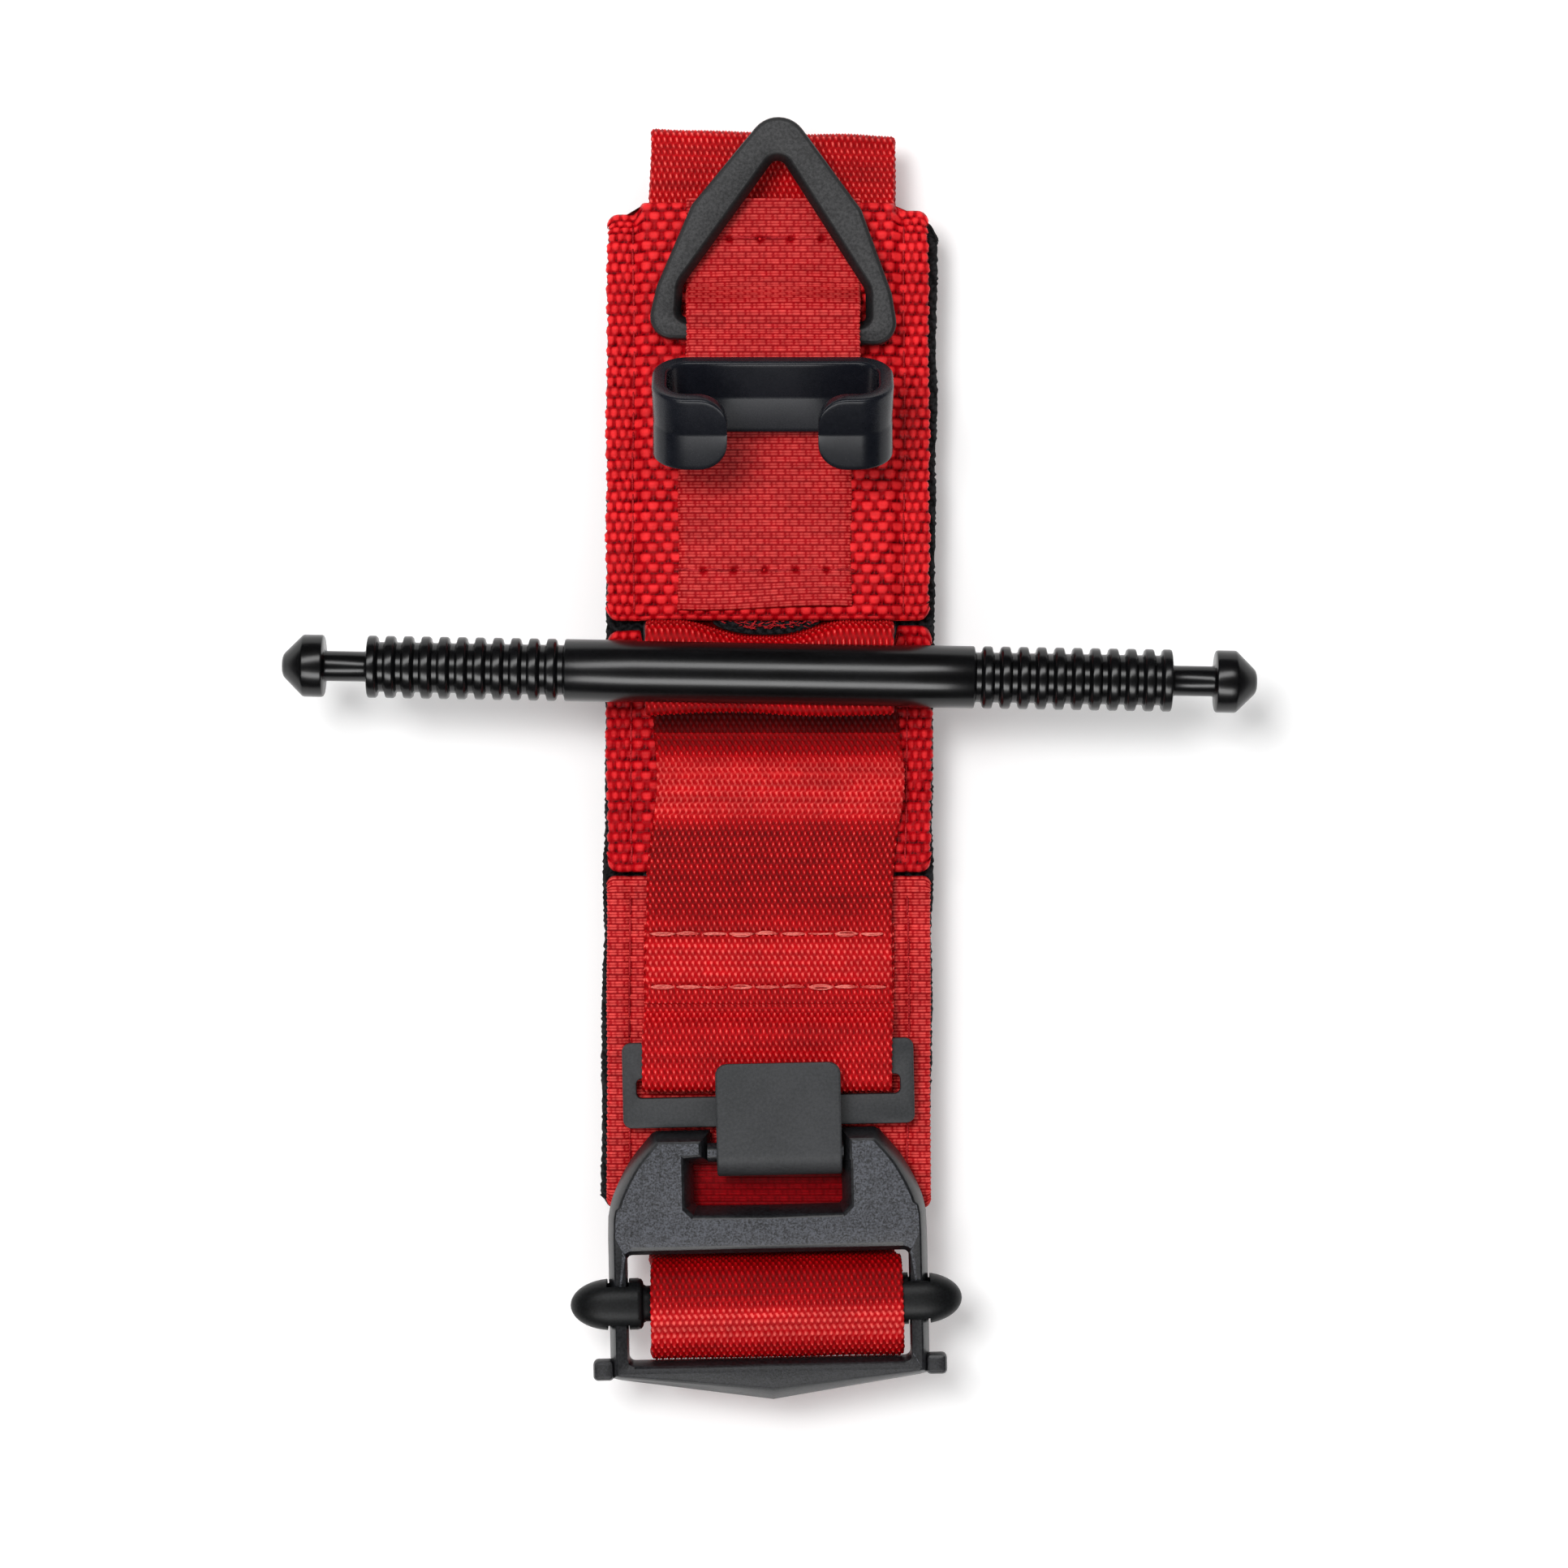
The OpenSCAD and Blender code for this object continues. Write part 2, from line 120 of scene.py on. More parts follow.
rail_x = (21.6, 24.5)

# Mesh steps across and along each weave: whole parts of its repeat, so that all repeats look alike.
STRAP_GRID = (0.188, 0.21875)
HEAVY_GRID = (0.236, 0.2667)
FINE_GRID = (0.212, 0.1625)


# --- Curves -----------------------------------------------------------

def along(points):
    """The distance along a path at each of its points."""
    return np.concatenate([[0], np.cumsum(np.linalg.norm(np.diff(points, axis=0), axis=1))])


def length_of(path):
    return sum(math.dist(a, b) for a, b in zip(path, path[1:]))


def arc(centre, radius, start, end, n=16):
    """Points on a circle, with the angles in degrees."""
    a = np.radians(np.linspace(start, end, n + 1))
    return [(centre[0] + radius * math.cos(t), centre[1] + radius * math.sin(t)) for t in a]


def spline(points, n=8):
    """A smooth curve through every point."""
    p = np.array(points, float)
    out = []
    for i in range(len(p) - 1):
        p0, p1, p2, p3 = p[max(0, i - 1)], p[i], p[i + 1], p[min(len(p) - 1, i + 2)]
        for t in np.arange(n) / n:
            out.append(0.5 * (2 * p1 + (p2 - p0) * t + (2 * p0 - 5 * p1 + 4 * p2 - p3) * t ** 2
                              + (3 * p1 - p0 - 3 * p2 + p3) * t ** 3))
    out.append(p[-1])
    return [tuple(q) for q in out]


def rounded(points, radius, n=6):
    """A polygon's corners rounded, each to its own radius where a list is given."""
    p = np.array(points, float)
    out = []
    for i in range(len(p)):
        r = radius[i] if isinstance(radius, (list, tuple)) else radius
        a = p[i - 1] - p[i]
        b = p[(i + 1) % len(p)] - p[i]
        a, b = a / np.linalg.norm(a), b / np.linalg.norm(b)
        half = math.acos(max(-1, min(1, float(a @ b)))) / 2
        mid = (a + b) / np.linalg.norm(a + b)
        centre = p[i] + mid * r / math.sin(half)
        s = p[i] + a * r / math.tan(half) - centre
        e = p[i] + b * r / math.tan(half) - centre
        start = math.degrees(math.atan2(s[1], s[0]))
        sweep = (math.degrees(math.atan2(e[1], e[0])) - start + 540) % 360 - 180
        out += arc(centre, r, start, start + sweep, n)
    return out


def smooth(t):
    """A soft step from 0 at t = 0 to 1 at t = 1."""
    t = np.clip(t, 0, 1)
    return t * t * (3 - 2 * t)


def ripple(a, b, seed, scale, amount):
    """Gentle unevenness over a surface: a few crossing waves about one scale."""
    rng = np.random.default_rng(seed)
    out = 0 * a * b
    for _ in range(6):
        turn, stretch, phase = rng.uniform(0, math.tau), rng.uniform(0.6, 1.7), rng.uniform(0, math.tau)
        out = out + np.sin(math.tau * stretch / scale * (a * math.cos(turn) + b * math.sin(turn)) + phase)
    return out * amount / 3


def hashed(i, j=0, seed=0):
    """A repeatable random number from 0 to 1 for each cell."""
    return (np.sin(i * 12.9898 + j * 78.233 + seed * 37.719) * 43758.5453) % 1.0


# --- Weaves: height from 0 to 1 at u across and v along the cloth, in mm

def basket(u, v):
    """Heavy pillows in a brick pattern, each narrower at one end, with thin yarns between."""
    across, down = 2.36, 3.2
    half_width, half_height, square = 1.05, 0.86, 3.2
    yarn_half, yarn_reach, yarn_height = 0.24, 0.95, 0.62
    margin, squeeze = 4.2, 1.75
    edge = base_w / 2 - margin
    u = np.where(np.abs(u) > edge, np.sign(u) * (edge + (np.abs(u) - edge) * squeeze), u)
    height = 0 * u * v
    for shift in (0, 0.5):
        i, j = np.round(u / across - shift), np.round(v / down - shift)
        wild = hashed(i, j, shift)
        a = u - (i + shift + 0.05 * (wild - 0.5)) * across
        b = v - (j + shift + 0.06 * (hashed(j, i, 3) - 0.5)) * down
        half = half_width * (1 + 0.24 * b)
        d = (np.abs(a) / half) ** square + (np.abs(b - 0.03) / half_height) ** square
        pillow = np.sqrt(np.clip(1 - d, 0, 1)) * (0.9 + 0.1 * wild)
        gap = np.abs(np.abs(a) - across / 2)
        yarn = yarn_height * np.sqrt(np.clip(1 - (gap / yarn_half) ** 2 - (b / yarn_reach) ** 2, 0, 1))
        height = np.maximum(height, np.maximum(pillow, yarn))
    return height


FLOAT_REPEAT = (0.94, 1.75)


def floats(u, v):
    """A tight lattice of short slanting floats, in rows that alternate by half."""
    across, down = FLOAT_REPEAT
    slant, sharpness = 0.28, 2.3
    row = np.round(v / (down / 2))
    lean = slant * (2 * v / down - row)
    a = u + lean + 0.10 * (hashed(row) - 0.5) + 0.05 * np.sin(v * 0.9)
    c = np.cos(math.tau * a / across) * np.cos(math.tau * v / down)
    return ((1 + c) / 2) ** sharpness * (0.84 + 0.16 * hashed(row, np.round(a / across), 5))


def wavy_rows(u, y):
    """From 0 to 1 and back with each row of floats, along a slightly wavy line."""
    across, down = FLOAT_REPEAT
    return 0.5 + 0.5 * np.cos(math.tau * (y + 0.12 * np.sin(math.tau * u / across)) / (down / 2))


def bricks(u, v):
    """Fine ribs of two threads each, tied down in turn like brickwork."""
    length, height = 2.12, 0.975
    main_tie, small_tie = 0.5, 0.3
    thread = np.floor(2 * v / height)
    b = 2 * v / height - thread - 0.5
    row = np.floor(thread / 2)
    a = u / length + 0.5 * (row % 2) + 0.02 * (thread % 2) + 0.04 * (hashed(row) - 0.5)
    cell = np.floor(a)
    a = a - cell - 0.5
    outer = np.where(thread % 2 == 0, -b, b)
    rib = 1 - 0.45 * np.abs(b) ** 2 * 4 * (outer < 0) - 0.85 * np.clip(2 * outer, 0, 1) ** 1.6
    tie = 1 - main_tie * np.exp(-((0.5 - np.abs(a)) * length / 0.17) ** 2)
    tie = tie - small_tie * np.exp(-((a + 0.16) * length / 0.15) ** 2)
    return np.clip(rib * tie * (0.84 + 0.16 * hashed(thread, cell, 2)), 0, 1)


def pile(u, v):
    """Short brushed loops, as an uneven nap."""
    return np.clip(0.5 + ripple(u, v, 11, 1.1, 0.5) + ripple(u, v, 12, 0.6, 0.35), 0, 1)


# --- Making meshes ----------------------------------------------------

def add(name, verts, faces, material, weave=None):
    """A smooth mesh object from millimetre points, with its material. weave gives
    each point's place across and along its cloth, and its height in the weave."""
    mesh = bpy.data.meshes.new(name)
    mesh.from_pydata((np.asarray(verts) * MM).tolist(), [], faces)
    mesh.shade_smooth()
    if weave is not None:
        attribute = mesh.attributes.new("cloth", "FLOAT_VECTOR", "POINT")
        attribute.data.foreach_set("vector", np.asarray(weave, np.float32).ravel())
    obj = bpy.data.objects.new(name, mesh)
    bpy.context.scene.collection.objects.link(obj)
    mesh.materials.append(material)
    return obj


def places(path, step):
    """Distances along a path at a step that may depend on the place, and the path's own distances."""
    path = np.array(path, float)
    dist = along(path)
    s = [0.0]
    while s[-1] < dist[-1]:
        y, z = np.interp(s[-1], dist, path[:, 0]), np.interp(s[-1], dist, path[:, 1])
        s.append(s[-1] + (step(y, z) if callable(step) else step))
    s[-1] = dist[-1]
    if s[-1] - s[-2] < 0.05:
        del s[-2]
    return np.array(s), dist, path


def section(width, thick, du, under):
    """A flat cross-section with round edges: x, height, and the outward direction at each point."""
    bulge = 0.42 * thick
    half = width / 2 - bulge
    least_step = 0.03
    count = int((half - least_step) / du)
    top = np.concatenate([[-half], np.arange(-count, count + 1) * du, [half]])
    low = np.linspace(half, -half, max(3, round(2 * half / under) + 1))
    turn = np.radians([68, 45, 22, 0, -22, -45, -68])
    x = np.concatenate([top, half + bulge * np.cos(turn), low, -half - bulge * np.cos(turn[::-1])])
    z = np.concatenate([top * 0 + 1, np.sin(turn), low * 0 - 1, np.sin(turn[::-1])]) * thick / 2
    nx = np.concatenate([top * 0, np.cos(turn), low * 0, -np.cos(turn[::-1])])
    nz = np.concatenate([top * 0 + 1, np.sin(turn), low * 0 - 1, np.sin(turn[::-1])])
    return x, z, nx, nz


def band(name, path, width, thick, weave, relief, material, slot, fine=(0.25, 0.25), under=2.0,
         lateral=None, wander=0.12, seed=1, warp=None, start_v=0.0, round_ends=True, dents=(), tone=None):
    """A woven strap whose middle follows a (y, z) path, with u across it and s along it. fine gives the
    mesh steps of the upper face, and under the step across the lower one. lateral(y) shifts it sideways,
    warp(x, y, z, u, s) moves its points, tone(u, y, z, level) changes how bright the yarns are, and dents
    lists where stitches pull it in as (u, s, depth, radius)."""
    s, dist, path = places(path, fine[1])
    y, z = np.interp(s, dist, path[:, 0]), np.interp(s, dist, path[:, 1])
    dy, dz = np.gradient(y, s), np.gradient(z, s)
    steep = np.hypot(dy, dz)
    dy, dz = (dy / steep)[:, None], (dz / steep)[:, None]
    sx, sz, nx, nz = section(width, thick, fine[0], under)
    sx, sz, nx, nz = sx[None, :], sz[None, :], nx[None, :], nz[None, :]
    v = s[:, None] + start_v
    height = weave(sx + 0 * v, v + 0 * sx)
    lift = relief * (height - 0.5)
    if round_ends:
        near = np.minimum(s, s[-1] - s)[:, None]
        taper = np.sqrt(np.clip(1 - (1 - np.clip(near / (thick / 2), 0, 1)) ** 2, 0.02, 1))
    else:
        taper = 1 + 0 * v
    up = (sz + nz * lift) * taper + ripple(sx, v, seed, 17, wander)
    edge = 1 + ripple(0 * sx, v, seed + 50, 23, 1.4 * wander) / (width / 2)
    selvage = np.abs(nx) * 0.06 * np.cos(math.tau * v / 0.95) * (relief > 0)
    x = sx * edge + 0.4 * nx * lift + np.sign(sx) * selvage
    for du, ds, depth, radius in dents:
        near = np.exp(-((sx - du) ** 2 + (v - start_v - ds) ** 2) / radius ** 2) * (sz > 0)
        up = up - depth * near
        # Each dent's weave height drops too, which paints shade into the dent.
        height = height * (1 - 0.95 * near)
    px, py, pz = x, y[:, None] - dz * up, z[:, None] + dy * up
    if lateral is not None:
        px = px + lateral(y)[:, None]
    if warp is not None:
        px, py, pz = warp(px + 0 * v, py, pz, sx + 0 * v, v - start_v + 0 * sx)
    if tone is not None:
        height = tone(sx + 0 * v, y[:, None] + 0 * sx, z[:, None] + 0 * sx, height)
    verts = np.stack([px + 0 * v, py + 0 * sx, pz + 0 * sx], -1).reshape(-1, 3)
    threads = np.stack([sx + 0 * v, v + 0 * sx, height], -1).reshape(-1, 3)
    rings, m = len(s), sx.shape[1]
    i = np.arange(rings - 1)[:, None] * m
    k = np.arange(m)[None, :]
    after = (k + 1) % m
    faces = np.stack([i + k, i + after, i + m + after, i + m + k], -1).reshape(-1, 4).tolist()
    faces += [list(range(m))[::-1], list(range((rings - 1) * m, rings * m))]
    obj = add(name, verts, faces, material, threads)
    outward(obj)
    return obj


def outward(obj):
    """Turns every face of a closed mesh outwards."""
    bm = bmesh.new()
    bm.from_mesh(obj.data)
    if bm.calc_volume(signed=True) < 0:
        bmesh.ops.reverse_faces(bm, faces=bm.faces)
        bm.to_mesh(obj.data)
    bm.free()


def tubes(name, runs, radius, material, sides=8):
    """Threads: one closed tube along each list of (x, y, z) points."""
    verts, faces = [], []
    for run in runs:
        p = np.array(run, float)
        d = np.gradient(p, axis=0)
        d /= np.linalg.norm(d, axis=1)[:, None]
        ref = np.array([0, 0, 1.0])
        if abs(d[len(d) // 2][2]) > 0.9:
            ref = np.array([1.0, 0, 0])
        a = np.cross(d, ref)
        a /= np.linalg.norm(a, axis=1)[:, None]
        b = np.cross(a, d)
        base = len(verts)
        for i in range(len(p)):
            r = radius * (0.55 if i in (0, len(p) - 1) else 1)
            for k in range(sides):
                t = math.tau * k / sides
                verts.append(p[i] + r * (a[i] * math.cos(t) + b[i] * math.sin(t)))
        for i in range(len(p) - 1):
            for k in range(sides):
                q, w = base + i * sides + k, base + i * sides + (k + 1) % sides
                faces.append([q, q + sides, w + sides, w])
        faces.append([base + k for k in range(sides)])
        faces.append([base + (len(p) - 1) * sides + k for k in range(sides)][::-1])
    obj = add(name, verts, faces, material)
    outward(obj)
    return obj


def inset(points, distance):
    """An anticlockwise outline moved inwards, by one distance or by one for each point."""
    p = np.array(points, float)
    e = np.roll(p, -1, 0) - p
    n = np.stack([-e[:, 1], e[:, 0]], 1) / np.linalg.norm(e, axis=1)[:, None]
    before = np.roll(n, 1, 0)
    mitre = (n + before) / (1 + (n * before).sum(1))[:, None].clip(0.35)
    return p + mitre * np.reshape(distance, (-1, 1))


def solid(contours):
    """Vertices and faces of a moulding between outlines. Each contour is (points, weight, profile), all
    anticlockwise, the first outside and the rest holes. A profile lists (inset, height) from the bottom
    up, and weight multiplies its insets, all alike or point by point."""
    verts, faces, low, high = [], [], [], []
    for k, (points, weight, profile) in enumerate(contours):
        inward = 1 if k == 0 else -1
        base = len(verts)
        n = len(points)
        for depth, z in profile:
            ring = inset(points, inward * depth * np.broadcast_to(weight, n))
            verts += [(x, y, z) for x, y in ring]
        for row in range(len(profile) - 1):
            for i in range(n):
                a, b = base + row * n + i, base + row * n + (i + 1) % n
                quad = [a, b, b + n, a + n]
                faces.append(quad if k == 0 else quad[::-1])
        low.append(list(range(base, base + n)))
        high.append(list(range(base + (len(profile) - 1) * n, base + len(profile) * n)))
    for loops, turn in ((low, -1), (high, 1)):
        flat = [i for loop in loops for i in loop]
        for tri in tessellate_polygon([[Vector(verts[i]) for i in loop] for loop in loops]):
            f = [flat[i] for i in tri]
            a, b, c = (np.array(verts[i]) for i in f)
            if np.cross(b - a, c - a)[2] * turn < 0:
                f = f[::-1]
            faces.append(f)
    return verts, faces


def joined(*parts):
    """Several (vertices, faces) pairs as one."""
    verts, faces = [], []
    for v, f in parts:
        base = len(verts)
        verts += [tuple(p) for p in v]
        faces += [[i + base for i in face] for face in f]
    return verts, faces


def placed(part, matrix):
    """A (vertices, faces) pair moved by a matrix."""
    return [tuple(matrix @ Vector(v)) for v in part[0]], part[1]


def strip(path, thick, half_width, corner=0.4, dip=0.0, sides=4):
    """A strip of moulded or stamped material along an (x, z) path, with its width along Y.
    half_width(s, total) gives half its width, and dip sinks both faces to a line along the middle."""
    p = np.array(path, float)
    dist = along(p)
    d = np.gradient(p, axis=0)
    d /= np.linalg.norm(d, axis=1)[:, None]
    verts, faces = [], []
    turn = np.radians(np.linspace(90, 0, sides + 1))
    for i in range(len(p)):
        hw = half_width(dist[i], dist[-1])
        c = min(corner, hw * 0.8)
        quarter = [(hw - c + c * math.cos(t), thick / 2 - corner + corner * math.sin(t)) for t in turn]
        if dip:
            flat = hw - c - min(0.4, (hw - c) / 3)
            shoulder = (flat, thick / 2 - dip * (hw - c - flat) / hw)
            quarter = [(0.3 * flat / hw, thick / 2 - dip), shoulder] + quarter
        middle = thick / 2 - dip * 1.3
        loop = [(0, middle)] + quarter + [(w, -h) for w, h in quarter[::-1]] + [(0, -middle)]
        loop += [(-w, -h) for w, h in quarter] + [(-w, h) for w, h in quarter[::-1]]
        for w, h in loop:
            verts.append((p[i][0] - d[i][1] * h, w, p[i][1] + d[i][0] * h))
        m = len(loop)
    for i in range(len(p) - 1):
        for k in range(m):
            a, b = i * m + k, i * m + (k + 1) % m
            faces.append([a, b, b + m, a + m])
    faces.append(list(range(m))[::-1])
    faces.append([(len(p) - 1) * m + k for k in range(m)])
    return verts, faces


def turned(profile, sides=96, squash=1.0, power=2.0):
    """A bar along X from (x, radius) points: round, or squarer where power is above 2."""
    verts, faces = [], []
    for x, r in profile:
        for k in range(sides):
            t = math.tau * k / sides
            c, s = math.cos(t), math.sin(t)
            grow = (abs(c) ** power + abs(s) ** power) ** (-1 / power)
            verts.append((x, r * c * grow, r * squash * s * grow))
    for i in range(len(profile) - 1):
        for k in range(sides):
            a, b = i * sides + k, i * sides + (k + 1) % sides
            faces.append([a, b, b + sides, a + sides])
    faces.append(list(range(sides)))
    faces.append([(len(profile) - 1) * sides + k for k in range(sides)][::-1])
    return verts, faces


def hard(name, part, material, angle=32, cutter=None, walls=None, low=None):
    """A rigid piece on the body and in the place of the CAD node of its name. Edges above the angle stay
    sharp. walls is a darker copy of the material, given to all but the upper faces as painted shade, and
    low is a (material, y) pair for the upper faces below a place on Y."""
    obj = add(name, part[0], part[1], material)
    outward(obj)
    if cutter is not None:
        tool = add(name + "_cutter", cutter[0], cutter[1], material)
        outward(tool)
        cut = obj.modifiers.new("cut", "BOOLEAN")
        cut.object, cut.operation, cut.solver = tool, "DIFFERENCE", "EXACT"
        dg = bpy.context.evaluated_depsgraph_get()
        mesh = bpy.data.meshes.new_from_object(obj.evaluated_get(dg))
        obj.modifiers.clear()
        obj.data = mesh
        bpy.data.objects.remove(tool)
    obj.data.shade_smooth()
    # Painted shade: every face but the upper ones gets the darker copy.
    if walls is not None:
        obj.data.materials.append(walls)
        for polygon in obj.data.polygons:
            polygon.material_index = int(polygon.normal.z < 0.96)
    if low is not None:
        obj.data.materials.append(low[0])
        for polygon in obj.data.polygons:
            if polygon.normal.z > 0.9 and polygon.center.y < low[1] * MM:
                polygon.material_index = 2
    bm = bmesh.new()
    bm.from_mesh(obj.data)
    for e in bm.edges:
        if len(e.link_faces) == 2 and e.calc_face_angle(0) > math.radians(angle):
            e.smooth = False
    bm.to_mesh(obj.data)
    bm.free()
    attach(obj, name)
    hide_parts(name)


def block(x, y, z):
    """A plain block between pairs of limits, used as a cutter."""
    points = [(x[0], y[0]), (x[1], y[0]), (x[1], y[1]), (x[0], y[1])]
    return solid([(points, 1, [(0, z[0]), (0, z[1])])])


# --- Materials --------------------------------------------------------

class Shader:
    """A material with a Principled shader, and short ways to add its nodes."""

    def __init__(self, name, roughness, **sockets):
        self.material = bpy.data.materials.new(name)
        self.material.use_nodes = True
        self.tree = self.material.node_tree
        self.tree.nodes.clear()
        self.surface = self.tree.nodes.new("ShaderNodeBsdfPrincipled")
        self.node("ShaderNodeOutputMaterial", {"Surface": self.surface.outputs["BSDF"]})
        self.surface.inputs["Roughness"].default_value = roughness
        for socket, value in sockets.items():
            self.surface.inputs[socket.replace("_", " ")].default_value = value

    def link(self, a, b):
        self.tree.links.new(a, b)

    def node(self, kind, sockets=None, **settings):
        """A node with its settings, and a value or a link for each of the sockets."""
        n = self.tree.nodes.new(kind)
        for key, value in settings.items():
            setattr(n, key, value)
        for key, value in (sockets or {}).items():
            if isinstance(value, bpy.types.NodeSocket):
                self.link(value, n.inputs[key])
            else:
                n.inputs[key].default_value = value
        return n

    def maths(self, operation, a, b):
        return self.node("ShaderNodeMath", {0: a, 1: b}, operation=operation).outputs[0]

    def total(self, a, share_a, b, share_b):
        """Two values added, each times its share."""
        return self.maths("ADD", self.maths("MULTIPLY", a, share_a), self.maths("MULTIPLY", b, share_b))

    def weave(self):
        """Each point's place across and along its cloth with its height, and the height alone."""
        vector = self.node("ShaderNodeAttribute", attribute_name="cloth").outputs["Vector"]
        return vector, self.node("ShaderNodeSeparateXYZ", {0: vector}).outputs["Z"]

    def place(self):
        """The place on the object, in metres."""
        return self.node("ShaderNodeTexCoord").outputs["Object"]

    def scaled(self, vector, scale):
        """A place stretched by a factor on each axis."""
        return self.node("ShaderNodeMapping", {"Vector": vector, "Scale": scale}).outputs[0]

    def noise(self, vector, scale, detail, rough):
        sockets = {"Vector": vector, "Scale": scale, "Detail": detail, "Roughness": rough}
        return self.node("ShaderNodeTexNoise", sockets).outputs["Fac"]

    def ramp(self, value, stops):
        """The colour for a value, from (value, colour) stops."""
        n = self.node("ShaderNodeValToRGB", {"Fac": value})
        n.color_ramp.interpolation = "EASE"
        while len(n.color_ramp.elements) < len(stops):
            n.color_ramp.elements.new(0.5)
        for element, (at, colour) in zip(n.color_ramp.elements, stops):
            element.position = at
            element.color = (*colour, 1)
        return n.outputs["Color"]

    def multiply(self, a, b):
        """One colour times another."""
        sockets = {"Factor": 1.0, "A": a, "B": b}
        return self.node("ShaderNodeMix", sockets, data_type="RGBA", blend_type="MULTIPLY").outputs["Result"]

    def spread(self, value, low, high):
        """A value from 0 to 1 spread over another range."""
        sockets = {"Value": value, "To Min": low, "To Max": high}
        return self.node("ShaderNodeMapRange", sockets).outputs["Result"]

    def bump(self, height, strength, distance, before=None):
        """A bumped normal, on top of another if one is given, with the distance in millimetres."""
        sockets = {"Strength": strength, "Distance": distance * MM, "Height": height}
        if before is not None:
            sockets["Normal"] = before
        return self.node("ShaderNodeBump", sockets).outputs["Normal"]

    def finish(self, colour, roughness=None, normal=None):
        """Joins what is given to the surface, and returns the material."""
        self.link(colour, self.surface.inputs["Base Color"])
        if roughness is not None:
            self.link(roughness, self.surface.inputs["Roughness"])
        if normal is not None:
            self.link(normal, self.surface.inputs["Normal"])
        return self.material


def cloth(name, deep, middle, bright, roughness, fibre, worn, mid_at):
    """Woven nylon: painted shade between the yarns and painted highlights on their crests, with fibres along
    them. fibre stretches the fibres' noise, worn is how uneven the dye is, and mid_at is the height that
    has the middle colour."""
    sh = Shader(name, roughness, Sheen_Weight=0.01, Sheen_Roughness=0.35,
                Sheen_Tint=(1.0, 0.30, 0.28, 1.0), Specular_IOR_Level=0.05)
    vector, height = sh.weave()
    strands = sh.noise(sh.scaled(vector, fibre), 1.0, 2.0, 0.55)
    broad = sh.noise(sh.scaled(vector, (0.11, 0.11, 0)), 1.0, 4.0, 0.6)
    patch = sh.noise(sh.scaled(vector, (0.9, 0.9, 0)), 1.0, 3.0, 0.6)
    rows = sh.noise(sh.scaled(vector, (0.035, 0.75, 0)), 1.0, 2.0, 0.5)
    level = sh.maths("ADD", height, sh.spread(strands, -0.10, 0.10))
    # The ramp starts below height 0, because a tone may paint shade darker than the gaps.
    below = 0.3
    shown = sh.maths("ADD", sh.maths("MULTIPLY", level, 1 - below), below)
    shadow = tuple(0.12 * c for c in deep)
    colour = sh.ramp(shown, [(0.0, shadow), (below, deep), (below + (1 - below) * mid_at, middle),
                             (0.97, bright)])
    dye = ((0.25, 1 - worn), (0.75, 1 + worn))
    wear = ((0.3, 0.9), (0.7, 1.08))
    stripes = ((0.3, 1 - worn), (0.7, 1 + worn))
    for uneven, stops in ((broad, dye), (patch, wear), (rows, stripes)):
        colour = sh.multiply(colour, sh.ramp(uneven, [(at, (light,) * 3) for at, light in stops]))
    rough = sh.spread(sh.total(strands, 0.5, height, -0.4), roughness - 0.05, roughness + 0.2)
    return sh.finish(colour, rough, sh.bump(strands, 0.35, 0.05))


def coated(name, base, light, roughness, grain, strength, distance, spots, specular):
    """A dark moulding, casting or coating with a fine grain and faint handling wear. spots is the grain's
    share in the colour, and strength and distance are those of its bumps."""
    sh = Shader(name, roughness, Specular_IOR_Level=specular)
    place = sh.place()
    fine = sh.noise(place, grain, 3.0, 0.65)
    speck = sh.noise(place, grain * 2.3, 2.0, 0.5)
    broad = sh.noise(place, 60, 4.0, 0.6)
    colour = sh.ramp(sh.total(fine, spots, broad, 1 - spots), [(0.32, base), (0.68, light)])
    rough = sh.spread(sh.total(broad, 0.6, speck, 0.4), roughness - 0.07, roughness + 0.12)
    normal = sh.bump(fine, strength, distance)
    return sh.finish(colour, rough, sh.bump(speck, strength * 0.5, distance * 0.4, normal))


HEAVY = cloth("heavy webbing", (0.09, 0.0, 0.002), (0.40, 0.001, 0.005), (0.84, 0.026, 0.030),
              0.44, (5.5, 1.6, 0), 0.10, 0.55)
STRAP = cloth("strap", (0.22, 0.0, 0.001), (0.46, 0.001, 0.004), (1.0, 0.14, 0.12),
              0.46, (7.0, 1.2, 0), 0.14, 0.42)
RIBBON = cloth("ribbon", (0.22, 0.001, 0.003), (0.36, 0.002, 0.006), (0.68, 0.065, 0.058),
               0.52, (4.0, 9.0, 0), 0.10, 0.45)
FINE = cloth("fine webbing", (0.18, 0.001, 0.003), (0.38, 0.003, 0.007), (0.80, 0.080, 0.070),
             0.55, (4.0, 9.0, 0), 0.12, 0.45)
RING = coated("ring plastic", (0.014, 0.014, 0.015), (0.050, 0.050, 0.052),
              0.55, 2300, 0.6, 0.06, 0.75, 0.3)
# A darker copy of the ring's plastic for its sides, as painted shade.
RING_EDGE = coated("ring edges", (0.006, 0.006, 0.007), (0.014, 0.014, 0.015),
                   0.5, 2300, 0.3, 0.03, 0.7, 0.3)
CLIP = coated("clip plastic", (0.004, 0.005, 0.008), (0.011, 0.012, 0.017),
              0.24, 1500, 0.08, 0.02, 0.3, 0.22)
ROD = coated("anodised rod", (0.002, 0.002, 0.002), (0.005, 0.005, 0.006),
             0.22, 3200, 0.12, 0.012, 0.6, 0.38)
PLATE = coated("hook plate coating", (0.020, 0.022, 0.024), (0.044, 0.046, 0.050),
               0.55, 2200, 0.25, 0.03, 0.45, 0.3)
FRAME = coated("buckle face coating", (0.001, 0.001, 0.002), (0.086, 0.092, 0.112),
               0.46, 3400, 0.9, 0.08, 0.9, 0.35)
